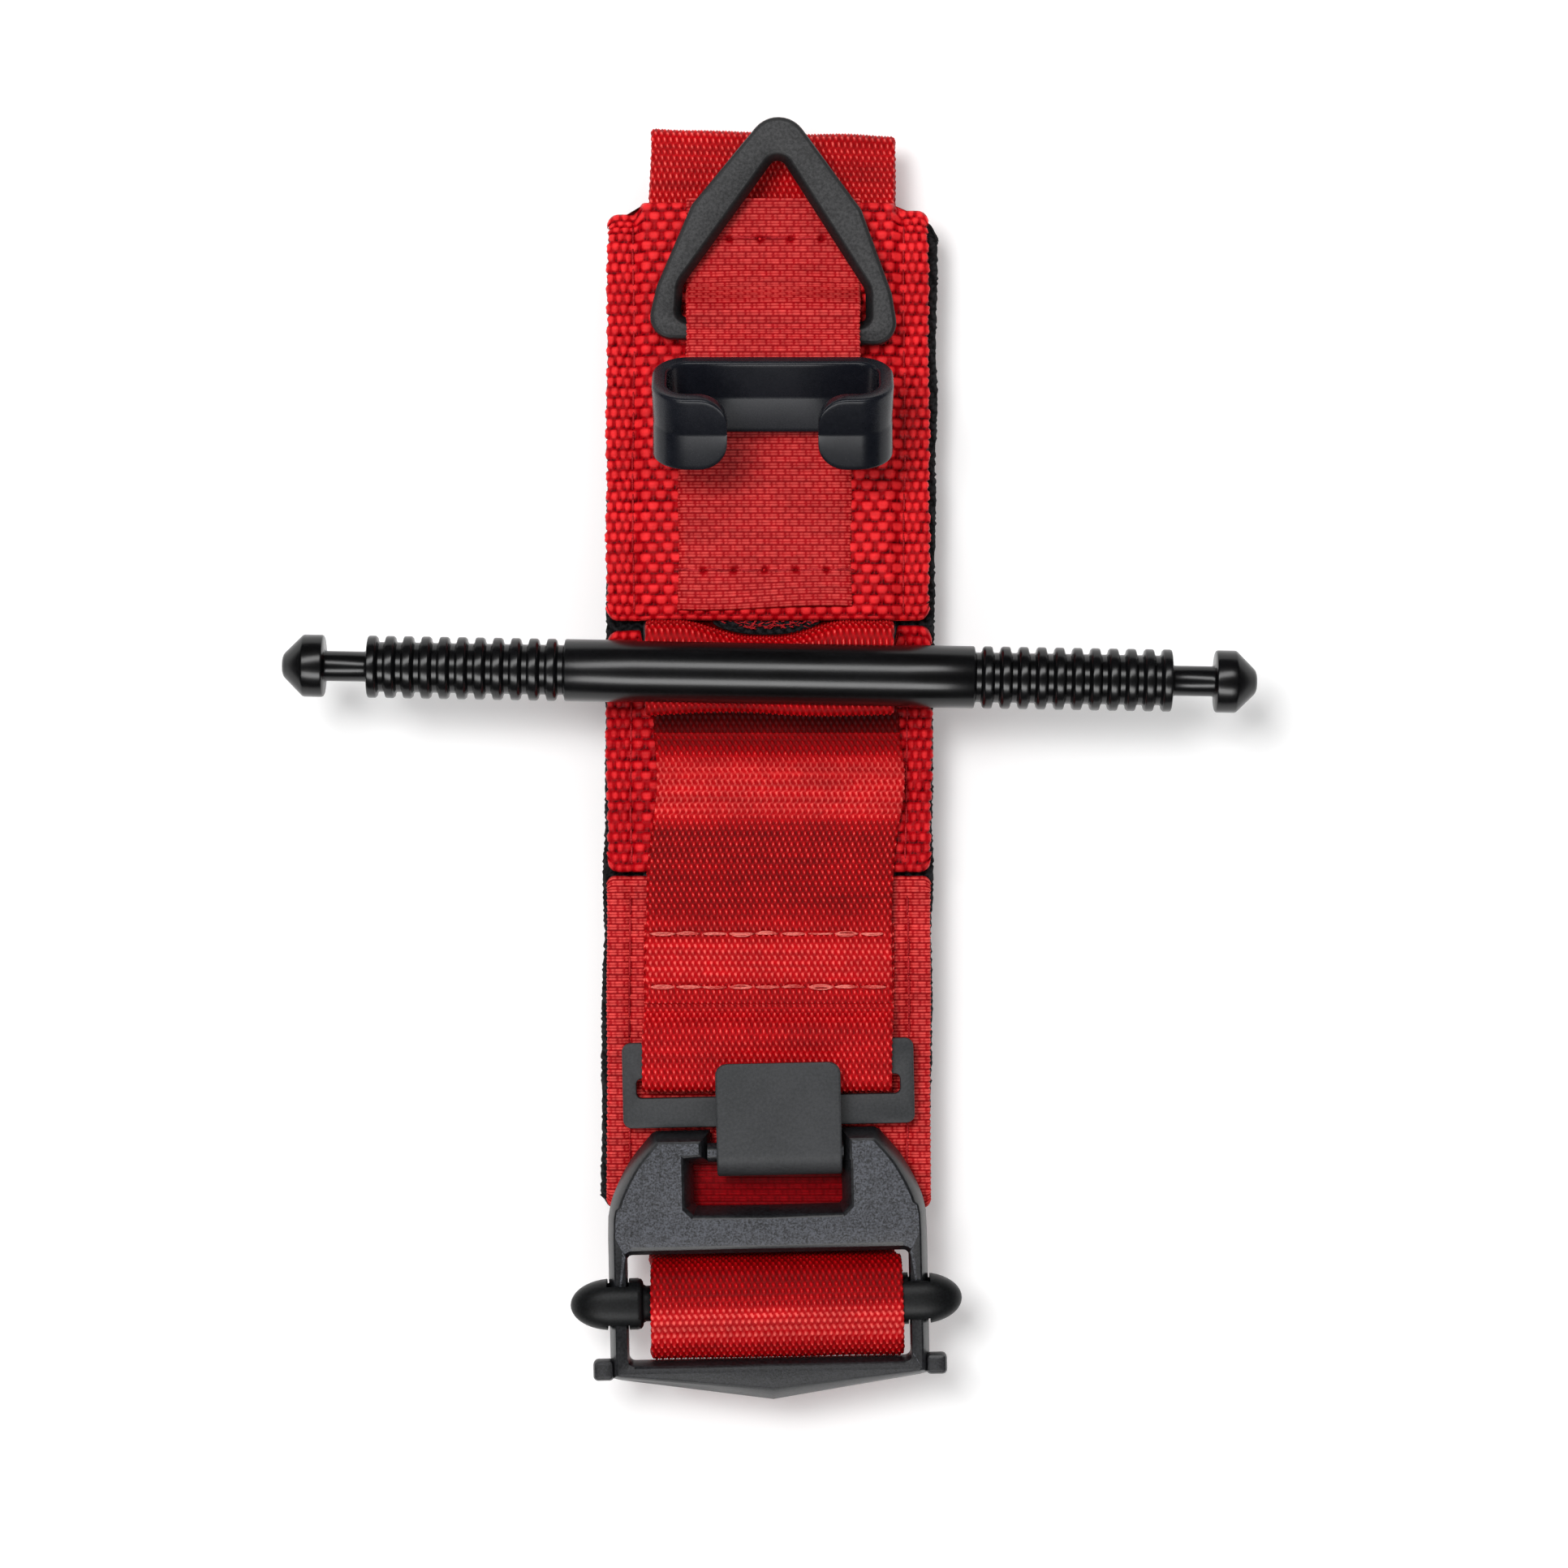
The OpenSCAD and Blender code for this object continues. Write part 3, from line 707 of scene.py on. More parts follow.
FRAME_LOW = coated("buckle lower bar", (0.001, 0.001, 0.001), (0.016, 0.017, 0.022),
                   0.42, 3400, 0.9, 0.08, 0.9, 0.35)
# A darker copy of the buckle's coating for its sides: painted shade, with the worn face lighter than them.
FRAME_EDGE = coated("buckle edges", (0.004, 0.004, 0.005), (0.020, 0.021, 0.024),
                    0.34, 2600, 0.4, 0.05, 0.8, 0.35)
BAR = coated("lock bar coating", (0.001, 0.001, 0.001), (0.006, 0.007, 0.008),
             0.42, 2700, 0.4, 0.04, 0.7, 0.2)
STIFFENER = coated("stiffener sheet", (0.02, 0.02, 0.022), (0.035, 0.035, 0.04),
                   0.5, 900, 0.1, 0.02, 0.5, 0.5)


def thread_material(name, dark, light):
    """Twisted thread with a little unevenness."""
    sh = Shader(name, 0.65, Specular_IOR_Level=0.05)
    place = sh.place()
    fibres = sh.noise(sh.scaled(place, (1.0, 2.4, 2.4)), 2500, 2.0, 0.6)
    broad = sh.noise(place, 300, 2.0, 0.5)
    colour = sh.ramp(sh.total(fibres, 0.5, broad, 0.5), [(0.35, dark), (0.65, light)])
    return sh.finish(colour, sh.spread(fibres, 0.45, 0.7), sh.bump(fibres, 0.5, 0.05))


RED_THREAD = thread_material("red thread", (0.22, 0.002, 0.006), (0.56, 0.030, 0.036))
PALE_THREAD = thread_material("pale thread", (0.50, 0.035, 0.032), (0.86, 0.23, 0.19))


def pile_material():
    """The backing's short black nap."""
    sh = Shader("backing pile", 0.9, Sheen_Weight=0.03, Sheen_Roughness=0.5, Specular_IOR_Level=0.15)
    vector, height = sh.weave()
    nap = sh.noise(sh.scaled(vector, (3.0, 3.0, 0)), 1.0, 4.0, 0.7)
    colour = sh.ramp(sh.total(nap, 0.6, height, 0.4),
                     [(0.3, (0.001, 0.001, 0.0015)), (0.75, (0.022, 0.022, 0.024))])
    return sh.finish(colour, sh.spread(nap, 0.8, 1.0), sh.bump(nap, 0.8, 0.15))


BACKING = pile_material()


# --- Sewn base --------------------------------------------------------

def corners(x, radius=1.8):
    """How far a sheet's end steps back at its rounded corners."""
    over = np.clip(np.abs(x) - (base_w / 2 - radius), 0, radius)
    return radius - np.sqrt(np.clip(radius ** 2 - over ** 2, 0, None))


def on_base(obj, *nodes):
    """Puts a piece on the base, in the place of its CAD node where it has one."""
    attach(obj, "base")
    if nodes:
        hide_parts(*nodes)


def level_path(y, z, step=4.0):
    """A level path between two places on Y."""
    count = max(2, round((y[1] - y[0]) / step))
    return [(a, z) for a in np.linspace(y[0], y[1], count)]


def heavy_band(name, **extras):
    """A piece of heavy webbing in the place of its CAD node."""
    path = level_path(span(name, "y"), web_z + heavy_t / 2)
    obj = band(name, path, base_w, heavy_t, basket, 0.95, HEAVY, "heavy_webbing", HEAVY_GRID, 2.5, **extras)
    on_base(obj, name)


def strap_band(name, path, grid=STRAP_GRID, under=1.0, relief=0.42, **extras):
    """A run of the tourniquet strap."""
    return band(name, path, strap_w, strap_t, floats, relief, STRAP, "strap", grid, under,
                round_ends=False, **extras)


def ribbon_band(name, path, **extras):
    """A run of the retention ribbon."""
    return band(name, path, ribbon_w, ribbon_t, bricks, 0.26, RIBBON, "ribbon", FINE_GRID, 1.5,
                lateral=ribbon_side, seed=8, **extras)


def build_backing():
    y = span("backing", "y")
    z = sum(span("backing", "z")) / 2

    def shape(x, py, pz, u, s):
        ends = corners(u, 2.5)
        return x, py - ends * smooth((py - y[1] + 4) / 4) + ends * smooth((y[0] + 4 - py) / 4), pz

    obj = band("backing", level_path((y[0] + 0.7, y[1]), z), backing_w - 0.6, 1.5, pile, 0.6, BACKING,
               "backing", (0.4, 0.4), 3.0, lateral=lambda y: 0.0085 * (y - 12), seed=3, warp=shape)
    on_base(obj, "backing")


def build_stiffener():
    """The hidden stiffener keeps its CAD shape."""
    materials = frame["nodes"]["stiffener"].data.materials
    materials.clear()
    materials.append(STIFFENER)


def seam_groove(x, z, top, place):
    """The cloth pulled down along its side seams."""
    near = np.exp(-((np.abs(x) - place) / 0.55) ** 2)
    return z - 0.5 * near * (z > top - 0.9)


def build_upper_webbing():
    """The upper heavy webbing, raised in its middle over the strap's tunnel, with a flat margin."""
    y = span("upper_webbing", "y")
    rise = upper_top - middle_top

    def shape(x, py, z, u, s):
        z = seam_groove(x, z, middle_top, seam_x["upper"])
        z = z + rise * smooth((strap_w / 2 + 1.3 - np.abs(x)) / 1.5)
        near = smooth((py - y[1] + 6) / 6)
        flat = smooth((np.abs(x) - 19.3) / 1.6)
        ends = corners(x)
        py = py - (ends + flat * np.where(x < 0, 1.5, 0.9) + 0.25 * np.abs(x) / 20) * near
        py = py + ends * smooth((y[0] + 4 - py) / 4)
        return x * 0.995 - 0.3, py, z - 0.35 * near * flat

    heavy_band("upper_webbing", seed=5, warp=shape)


def build_middle_webbing():
    """The middle heavy webbing, turned in where the strap comes out."""
    y = span("middle_webbing", "y")
    notch = strap_w / 2 + 0.9

    def shape(x, py, z, u, s):
        z = seam_groove(x, z, middle_top, seam_x["middle"])
        ends = corners(x)
        back = 3.4 * smooth((notch - np.abs(x)) / 0.9) + 0.9 * np.abs(x) / 25 * (x < 0)
        py = py - (ends + back) * smooth((py - y[1] + 6) / 6) + ends * smooth((y[0] + 4 - py) / 4)
        return x - 0.1, py, z

    heavy_band("middle_webbing", seed=6, warp=shape, start_v=1.1, tone=lambda u, y, z, level: level * 0.86)


def build_lower_webbing():
    """The lower fine webbing, with painted shade inside the buckle's window."""
    y = span("lower_webbing", "y")

    def shape(x, py, z, u, s):
        z = seam_groove(x, z, lower_top, seam_x["lower"])
        ends = corners(x, 1.2)
        return x - 0.15, py - ends * smooth((py - y[1] + 3) / 3) + ends * smooth((y[0] + 3 - py) / 3), z

    def tone(u, py, z, level):
        # Painted shade inside the buckle's window, where the frame stands over the webbing.
        painted_window_shade = smooth((14 - np.abs(u)) / 3) * smooth((py + 71) / 2) * smooth((-58 - py) / 3)
        return level * (1 - 0.5 * painted_window_shade) - 0.2 * painted_window_shade

    obj = band("lower_webbing", level_path(y, web_z + fine_t / 2), base_w, fine_t, bricks, 0.34, FINE,
               "fine_webbing", FINE_GRID, 2.5, seed=7, warp=shape, wander=0.08, tone=tone)
    on_base(obj, "lower_webbing")


def build_seams():
    """Lock stitches down both sides of each webbing piece."""
    rng = np.random.default_rng(21)
    pitch, length, radius = 3.15, 2.9, 0.15
    for node, top in (("upper", middle_top), ("middle", middle_top), ("lower", lower_top)):
        y0, y1 = span(node + "_webbing", "y")
        runs = []
        for side in (-1, 1):
            y = y0 + 1.2
            while y < y1 - (5.2 if node == "upper" else 3.4):
                drift = 0.12 * math.sin(y / 7 + side)
                x = side * seam_x[node] + drift + rng.uniform(-0.06, 0.06)
                runs.append([(x - 0.15, y + t * length, top - 0.42 + 0.42 * math.sin(math.pi * t) ** 0.5)
                             for t in np.linspace(0, 1, 9)])
                y += pitch
        obj = tubes(node + "_side_seams", runs, radius, RED_THREAD)
        on_base(obj, node + "_side_seams")


# --- Retention ribbon -------------------------------------------------

stitch_pitch = 4.75
ribbon_path = (spline([
    (clip_y, clip_z), (58.6, clip_z + 1.4), (60.6, clip_z + 2.1), (62.8, clip_z + 1.7), (65, ring_z + 2.6),
    (67.3, ring_z + 2.8), (69.4, ribbon_z + 4.1), (71.5, ribbon_z + 0.8), (73.2, ribbon_z)], 6)
    + [(76, ribbon_z), (80, ribbon_z), (span("upper_webbing", "y")[1] + 0.2, ribbon_z)])
ribbon_low = ([(22.9, ribbon_z), (32, ribbon_z), (40, ribbon_z), (47.5, ribbon_z)] + spline([
    (49.4, ribbon_z + 0.1), (51.6, ribbon_z + 0.75), (54, clip_z - 1.44), (clip_y, clip_z)], 6))


def ribbon_side(y):
    """The ribbon runs a little askew, to +X above the clip and to -X below it."""
    return 0.55 - 1.3 * smooth((clip_y + 3 - y) / 12)


def build_upper_ribbon():
    """The ribbon from the clip over the ring's bar, with a bulge behind the bar, to its upper stitches."""
    stitches = length_of(ribbon_path) - 6.2

    def bulge(x, y, z, u, s):
        return x, y, z + 1.4 * np.exp(-((y - 73.2) / 2.3) ** 2) * smooth((11 - np.abs(u)) / 7)

    obj = ribbon_band("retention_ribbon_upper", ribbon_path, wander=0.07, warp=bulge, round_ends=False,
                      dents=[(0.3 + stitch_pitch * i, stitches, 0.8, 0.5) for i in (-1.5, -0.5, 0.5, 1.5)])
    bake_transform(obj)
    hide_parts("retention_ribbon")


def build_lower_ribbon():
    """The ribbon from the clip down to its loose, slightly lifted end."""
    def tilt(x, y, z, u, s):
        y = y + 0.35 * np.sin(u / 6.0) * smooth((30 - y) / 6)
        z = z + 0.35 * smooth((24.5 - y) / 2) * (0.6 + 0.4 * np.sin(u / 4))
        press = 0.35 * smooth((np.abs(u) - ribbon_w / 2 + 1.2) / 1.2) * smooth((50 - y) / 3)
        return x, y, z - press

    obj = ribbon_band("retention_ribbon_lower", ribbon_low, wander=0.09, warp=tilt,
                      dents=[(stitch_pitch * i, 5.9, 0.8, 0.5) for i in (-2, -1, 0, 1, 2)])
    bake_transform(obj)
    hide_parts("retention_ribbon")


def build_ribbon_stitches():
    """The two rows of stitches that hold the ribbon down."""
    rows = (("ribbon_top_stitches", 79.9, 0.3, 4), ("ribbon_end_stitches", 28.8, 0, 5))
    for name, y, shift, count in rows:
        runs = []
        for i in range(count + 1):
            x0 = (i - (count + 1) / 2) * stitch_pitch + shift + float(ribbon_side(np.array(y))) + 0.35
            runs.append([(x0 + t * (stitch_pitch - 0.7), y + 0.1 * math.sin(5 * t + i),
                          ribbon_z + ribbon_t / 2 - 0.38 + 0.42 * math.sin(math.pi * t) ** 0.5)
                         for t in np.linspace(0, 1, 9)])
        on_base(tubes(name, runs, 0.2, RED_THREAD), name)


# --- Strap ------------------------------------------------------------

def build_main_strap():
    """The strap's tunnel run, its top fold and its back run."""
    r = (main_z - back_z) / 2
    fold = (span("main_strap", "y")[1] - strap_t / 2 - r, back_z + r)
    path = [(22.9, main_z), (60, main_z)] + arc(fold, r, 90, -90, 24) + [(60, back_z), (-66, back_z)]

    def step(y, z):
        """Fine where the strap shows at the top, coarse inside the base and behind it."""
        return STRAP_GRID[1] if y > 82 else 0.875

    def shape(x, y, z, u, s):
        high = smooth((y - 84) / 10)
        z = z + 0.5 * smooth((y - 85) / 6) * smooth((-u - 6) / 14) * (z > fold[1])
        return x + 0.35 * smooth((y - 70) / 20) + 0.35 * high * (u < 0), y + high * (0.1 - 0.03 * u), z

    obj = strap_band("main_strap", path, (STRAP_GRID[0], step), 1.5, seed=9, warp=shape,
                     tone=lambda u, y, z, level: level + 0.12)
    on_base(obj, "main_strap")


def build_slit_shade_sheet():
    """A dark sheet of backing laid over the strap where it leaves the slit, as painted shade, with loose
    yarn ends.
    """
    z = main_z + strap_t / 2 + 0.62

    def shape(x, y, z, u, s):
        near = np.clip(1 - ((u + 0.3) / 8.6) ** 2, 0, 1) ** 0.5
        return x - 0.3, 21.5 + (y - 21.5) * near, z

    dark_sheet = band("slit_shade_sheet", level_path((18.9, 23.0), z, 0.5), 16.8, 0.5, pile, 0.3, BACKING,
                  "backing", (0.3, 0.3), 1.5, seed=33, wander=0.03, warp=shape)
    on_base(dark_sheet)
    rng = np.random.default_rng(34)
    runs = []
    for _ in range(90):
        x = rng.uniform(-7.6, 6.8)
        y = 21.3 - rng.uniform(0.1, 1.6) * (1 - (x / 8.4) ** 2)
        turn, length = rng.uniform(-0.7, 0.7), rng.uniform(0.5, 1.1)
        runs.append([(x + t * length * math.cos(turn), y + t * length * math.sin(turn),
                      z + 0.35 + 0.25 * math.sin(math.pi * t)) for t in np.linspace(0, 1, 6)])
    on_base(tubes("slit_yarn_ends", runs, 0.09, RED_THREAD, 5))


def build_tail():
    """The strap's loose end, folded to and fro under the back run, and the hem at its end."""
    ends = (-66, 78)
    r = layer / 2
    levels = [tail_z - i * layer for i in range(4)]
    path = [(ends[0], levels[0]), (0, levels[0])]
    for i in range(3):
        out = i % 2 == 0
        path += arc((ends[1] if out else ends[0], levels[i] - r), r, 90, -90 if out else 270, 10)
        path.append((0, levels[i + 1]))
    path.append((ends[0] + 8, levels[3]))

    def step(y, z):
        """Finer on the lowest run and at the folds, which can be seen."""
        return 0.4375 if z < levels[3] + 0.2 * layer or abs(y) > 64 else 1.3125

    on_base(strap_band("strap_tail", path, (0.47, step), 0.6, 0.2, seed=10, wander=0.05), "strap_tail")
    y = span("tail_hem", "y")
    hem = band("tail_hem", level_path(y, strap_t / 2, 1.5), strap_w - 0.5, strap_t, floats, 0.2, STRAP,
               "strap", (0.4, 0.3), 0.5, seed=12, wander=0.03)
    on_base(hem, "tail_hem")
    runs = []
    for row in (y[0] + 1.2, y[1] - 1.2):
        for i in range(10):
            x0 = -17.4 + 3.5 * i
            runs.append([(x0 + 2.8 * t, row, 0.34 - 0.14 * math.sin(math.pi * t))
                         for t in np.linspace(0, 1, 7)])
    on_base(tubes("tail_hem_stitches", runs, 0.18, RED_THREAD))


front_end = 3.8
front_path = ([(loop_start, loop_z), (-30, loop_z), (-27, loop_z)] + spline([
    (-24, loop_z), (-20, front_z + 0.6), (-16, front_z + 0.2), (-12, front_z + 0.3), (-8, loop_z),
    (-4, front_z + 1.5), (0, front_z + 0.7), (2.4, front_z + 0.08), (front_end, front_z)], 6))


def front_side(y):
    """The front strap swings to +X just below the windlass."""
    return 1.8 * np.exp(-((y + 3) / 10) ** 2) - 0.1


def build_windlass_strap():
    """The strap's rise from the slit, its turn round the rod and its way back to the front."""
    r = 5.95
    return_z = rod_z - r
    turn = (return_z - front_z) / 2
    back = rod_y + 3.6
    path = spline([
        (22.8, main_z), (20.9, main_z), (19.9, main_z + 0.9), (19.4, main_z + 2.6), (19.3, rod_z - 4),
        (19, rod_z - 1.9), (18.4, rod_z - 0.6), (17.3, rod_z), (15.4, rod_z)], 6)
    path += [(rod_y, rod_z), (rod_y - r + 0.35, rod_z)]
    path += arc((rod_y, rod_z), r, 190, 270, 14)
    path += arc((back, return_z - turn), turn, 90, -90, 12)
    path += [(front_end, front_z)]
    path = path[::-1]
    length = length_of(path)

    def shape(x, y, z, u, s):
        """The rising leg hangs away from the slit in its middle, and the turn's lip is uneven."""
        s = length - s
        rising = smooth((y - 17.2) / 1.2) * smooth((z - main_z - 0.2) / 1.4) * (s < 14)
        y = y + rising * (-1.6 + 2.5 * smooth((np.abs(u + 1.0) - 2) / 11))
        low = smooth((15.6 - z) / 1.2) * (s > 14) * smooth((13 - y) / 8)
        lip = smooth((8.3 - y) / 1.2) * smooth((z - 15.5) / 2) * (s > 14)
        y = y + lip * (0.45 - 0.3 * np.sin(u / 5.0) - 0.3 * (u / 19) ** 2)
        return x + low * float(front_side(front_end)), y, z

    def tone(u, y, z, level):
        """Painted shade below the rod, down in the slit and along the edge of the turn's lip."""
        under = smooth((front_z + 2.2 - z) / 1.2)
        deep = smooth((19.6 - z) / 3) * smooth((y - 17) / 2)
        edge = smooth((8.8 - y) / 1.5) * smooth((z - 16) / 2)
        return level * (1 - 0.85 * np.maximum(under, 0.8 * deep)) - 0.12 * edge - 0.3 * under

    obj = strap_band("windlass_strap", path, seed=14, warp=shape, start_v=length_of(front_path),
                     wander=0.08, tone=tone)
    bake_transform(obj)
    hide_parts("windlass_strap")


def build_front_strap():
    """The strap from the rod down the front, over a crest, to the end of its sewn stretch."""
    def shape(x, y, z, u, s):
        for row in loop_rows.values():
            z = z - 0.22 * np.exp(-((y - row) / 0.7) ** 2)
        z = z + 0.35 * smooth((y + 12) / 8) * smooth((2 - y) / 4) * (1 - (u / 19) ** 2)
        return x, y, z

    def tone(u, y, z, level):
        """A painted highlight on the crest and between the two rows of stitches, painted shade from the one
        to the other, and a painted shadow below the rod."""
        crest = np.maximum(smooth((y + 10.5) / 2.5) * smooth((1 - y) / 2.5),
                           0.7 * smooth((y + 35) / 1.5) * smooth((-27.5 - y) / 1.5))
        shade = smooth((y + 0.5) / 3)
        painted_slope_shade = smooth((-9 - y) / 3) * smooth((y + 26) / 4)
        bright = crest * (0.24 + 0.24 * wavy_rows(u, y))
        level = level * (1 - 0.4 * crest + 0.35 * painted_slope_shade) + bright - 0.21 * painted_slope_shade
        return level * (1 - 0.3 * shade) - 0.16 * shade + 0.06 * smooth((-24 - y) / 2)

    obj = strap_band("front_strap", front_path, under=1.2, lateral=front_side, seed=14, warp=shape,
                     wander=0.08, tone=tone)
    on_base(obj, "front_strap")


def build_loop_stitches():
    """Two rows of pale stitches, each a few loose strands."""
    rng = np.random.default_rng(31)
    count = 9
    pitch = (strap_w - 1.6) / count
    for name, y in loop_rows.items():
        runs = []
        for i in range(count):
            x0 = -strap_w / 2 + 0.7 + pitch * i + float(front_side(np.array(y)))
            length = pitch * rng.uniform(0.86, 1.0)
            for _ in range(4):
                dy, dz, bow = rng.uniform(-0.2, 0.2), rng.uniform(-0.05, 0.12), rng.uniform(-0.25, 0.25)
                run = []
                for t in np.linspace(0, 1, 11):
                    rise = math.sin(math.pi * t)
                    run.append((x0 + t * length, y + (dy + bow * rise) * min(1, 4 * t, 4 - 4 * t),
                                loop_z + strap_t / 2 - 0.42 + (0.55 + dz) * rise ** 0.4))
                runs.append(run)
        on_base(tubes(name, runs, 0.115, PALE_THREAD, 6), name)


def build_hook_loop():
    """The strap's turn round the bar of the hook plate."""
    over = plate_z + plate_t / 2 + 0.1 + strap_t / 2
    under = plate_z - plate_t / 2 - 0.1 - strap_t / 2
    path = spline([(loop_start, loop_z), (-38.4, front_z + 1.12), (-39.4, front_z + 1.4),
                   (-41.4, over - 0.3), (-42.8, over), (-44.4, over)], 5)
    path += arc((bight_y - 2.7, plate_z), (over - under) / 2, 90, 270, 16) + [(-40, under), (-25.5, under)]
    path = path[::-1]
    obj = strap_band("hook_loop", path, under=1.2, seed=15, wander=0.06,
                     lateral=lambda y: front_side(y) - 0.3 * smooth((-38 - y) / 6),
                     warp=lambda x, y, z, u, s: (x * 1.012, y, z), tone=lambda u, y, z, level: level + 0.06)
    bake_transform(obj)
    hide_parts("hook_loop")


# --- Buckle -----------------------------------------------------------

skewed = (Matrix.Translation((0, hook_y, 0)) @ Matrix.Rotation(buckle_skew, 4, "Z")
          @ Matrix.Translation((0, -hook_y, 0)))


def build_buckle_strap():
    """The strap's two legs and its pass over the lock bar, in five pieces."""
    z0, z1, top = back_z, tail_z, lock_z + 4.2
    whole = [(-66, z0), (-69, z0)] + spline([
        (-70.75, z0), (-72.8, z0 + 0.5), (-75.2, z0 + 3), (-76.9, frame_z - 1), (-77.4, frame_z + 3),
        (-78.6, top - 1.4), (-81, top - 0.2), (lock_y - 0.4, top), (-86.4, top - 0.4), (-89, top - 2),
        (-90.6, frame_z + 3), (-91, frame_z - 1), (-90.4, z0 - 0.4), (-87, z1 - 0.1)], 8)
    whole += [(-84, z1), (-78, z1), (-66, z1)]
    p = np.array(whole[::-1])
    dist = along(p)

    def shape(x, y, z, u, s):
        """Turned with the skewed buckle, and a little wider and to +X over the lock bar."""
        turn = buckle_skew * smooth((-70.6 - y) / 3)
        over = smooth((z - frame_z + 1) / 4)
        x = x * (1 + 0.015 * over) + 0.65 * over
        y = y - 0.5 * over * smooth((-86 - y) / 4)
        arm = y - hook_y
        return x - np.sin(turn) * arm, hook_y + arm * np.cos(turn) + u * np.sin(turn), z

    def tone(u, y, z, level):
        """A painted highlight on the crest over the lock bar, and painted shade at its upper side."""
        top = smooth((y + 83.2) / 2.5)
        crest = smooth((y + 89) / 1.5) * smooth((-83 - y) / 1.5)
        return level * (1 - 0.35 * crest) + crest * (0.28 + 0.22 * wavy_rows(u, y)) - 0.22 * top

    def nearest(y, z):
        """The number of the path's point nearest to a place."""
        return int(np.argmin((p[:, 0] - y) ** 2 + (p[:, 1] - z) ** 2))

    marks = [0, nearest(-78, z1), nearest(-87, z1 - 0.1), nearest(-76.9, frame_z - 1),
             nearest(-73.6, z0 + 1.1), len(p) - 1]
    runs = [("rear_leg_a", "base", "hook_plate", -71, -77.8),
            ("rear_leg_b", "hook_plate", "buckle_frame", -78.2, -86.8),
            (None, None, None, None, None),
            ("front_leg_b", "hook_plate", "buckle_frame", -73.8, -76.8),
            ("front_leg_a", "base", "hook_plate", -71, -73.4)]
    for (leg, a, b, y_start, y_end), first, last in zip(runs, marks, marks[1:]):
        name = "buckle_strap_" + leg if leg else "buckle_strap"
        obj = strap_band(name, [tuple(q) for q in p[first:last + 1]], (0.4, 0.3) if leg else STRAP_GRID,
                         seed=16, warp=shape, wander=0.05, start_v=dist[first], tone=tone)
        if leg is None:
            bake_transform(obj)
        else:
            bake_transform(obj)
        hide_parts("buckle_strap")


def build_hook_plate():
    """A stamped plate with a slot for the strap, and a tongue folded back into a hook."""
    w, slot_half = 22.4, 20.25
    outer = rounded([(-w, -56.6), (w, -56.6), (w, -43.5), (-w, -43.5)], 1.3)
    slot = rounded([(-slot_half, -52), (slot_half, -52), (slot_half, -49), (-slot_half, -49)], 0.8)
    z0, z1 = plate_z - plate_t / 2, plate_z + plate_t / 2
    edge = [(0.3, z0), (0.09, z0 + 0.09), (0, z0 + 0.3), (0, z1 - 0.3), (0.09, z1 - 0.09), (0.3, z1)]
    plate = solid([(outer, 1, edge), (slot, 1, edge)])
    r = hook_z - plate_z
    path = [(-53, plate_z), (-56.6, plate_z)] + arc((hook_y, hook_z), r, 270, 90, 28)
    end = -46.7
    half, corner, tongue_x = 9.55, 1.7, 1.5
    path += [(hook_y + (end - hook_y) * t, hook_z + r) for t in np.linspace(0.03, 0.85, 12)]
    path += [(end - d, hook_z + r) for d in (1.6, 1.2, 0.85, 0.55, 0.3, 0.12, 0.03, 0)]

    def width(s, total):
        """Half the tongue's width, with rounded corners at its end."""
        d = total - s
        return half if d > corner else half - corner + math.sqrt(max(0.0, corner ** 2 - (corner - d) ** 2))

    verts, faces = strip(path, plate_t, width, 0.4)
    tongue = [(across + tongue_x, y, height) for y, across, height in verts], faces
    part = placed(joined(plate, tongue), skewed)
    hard("hook_plate", part, PLATE)


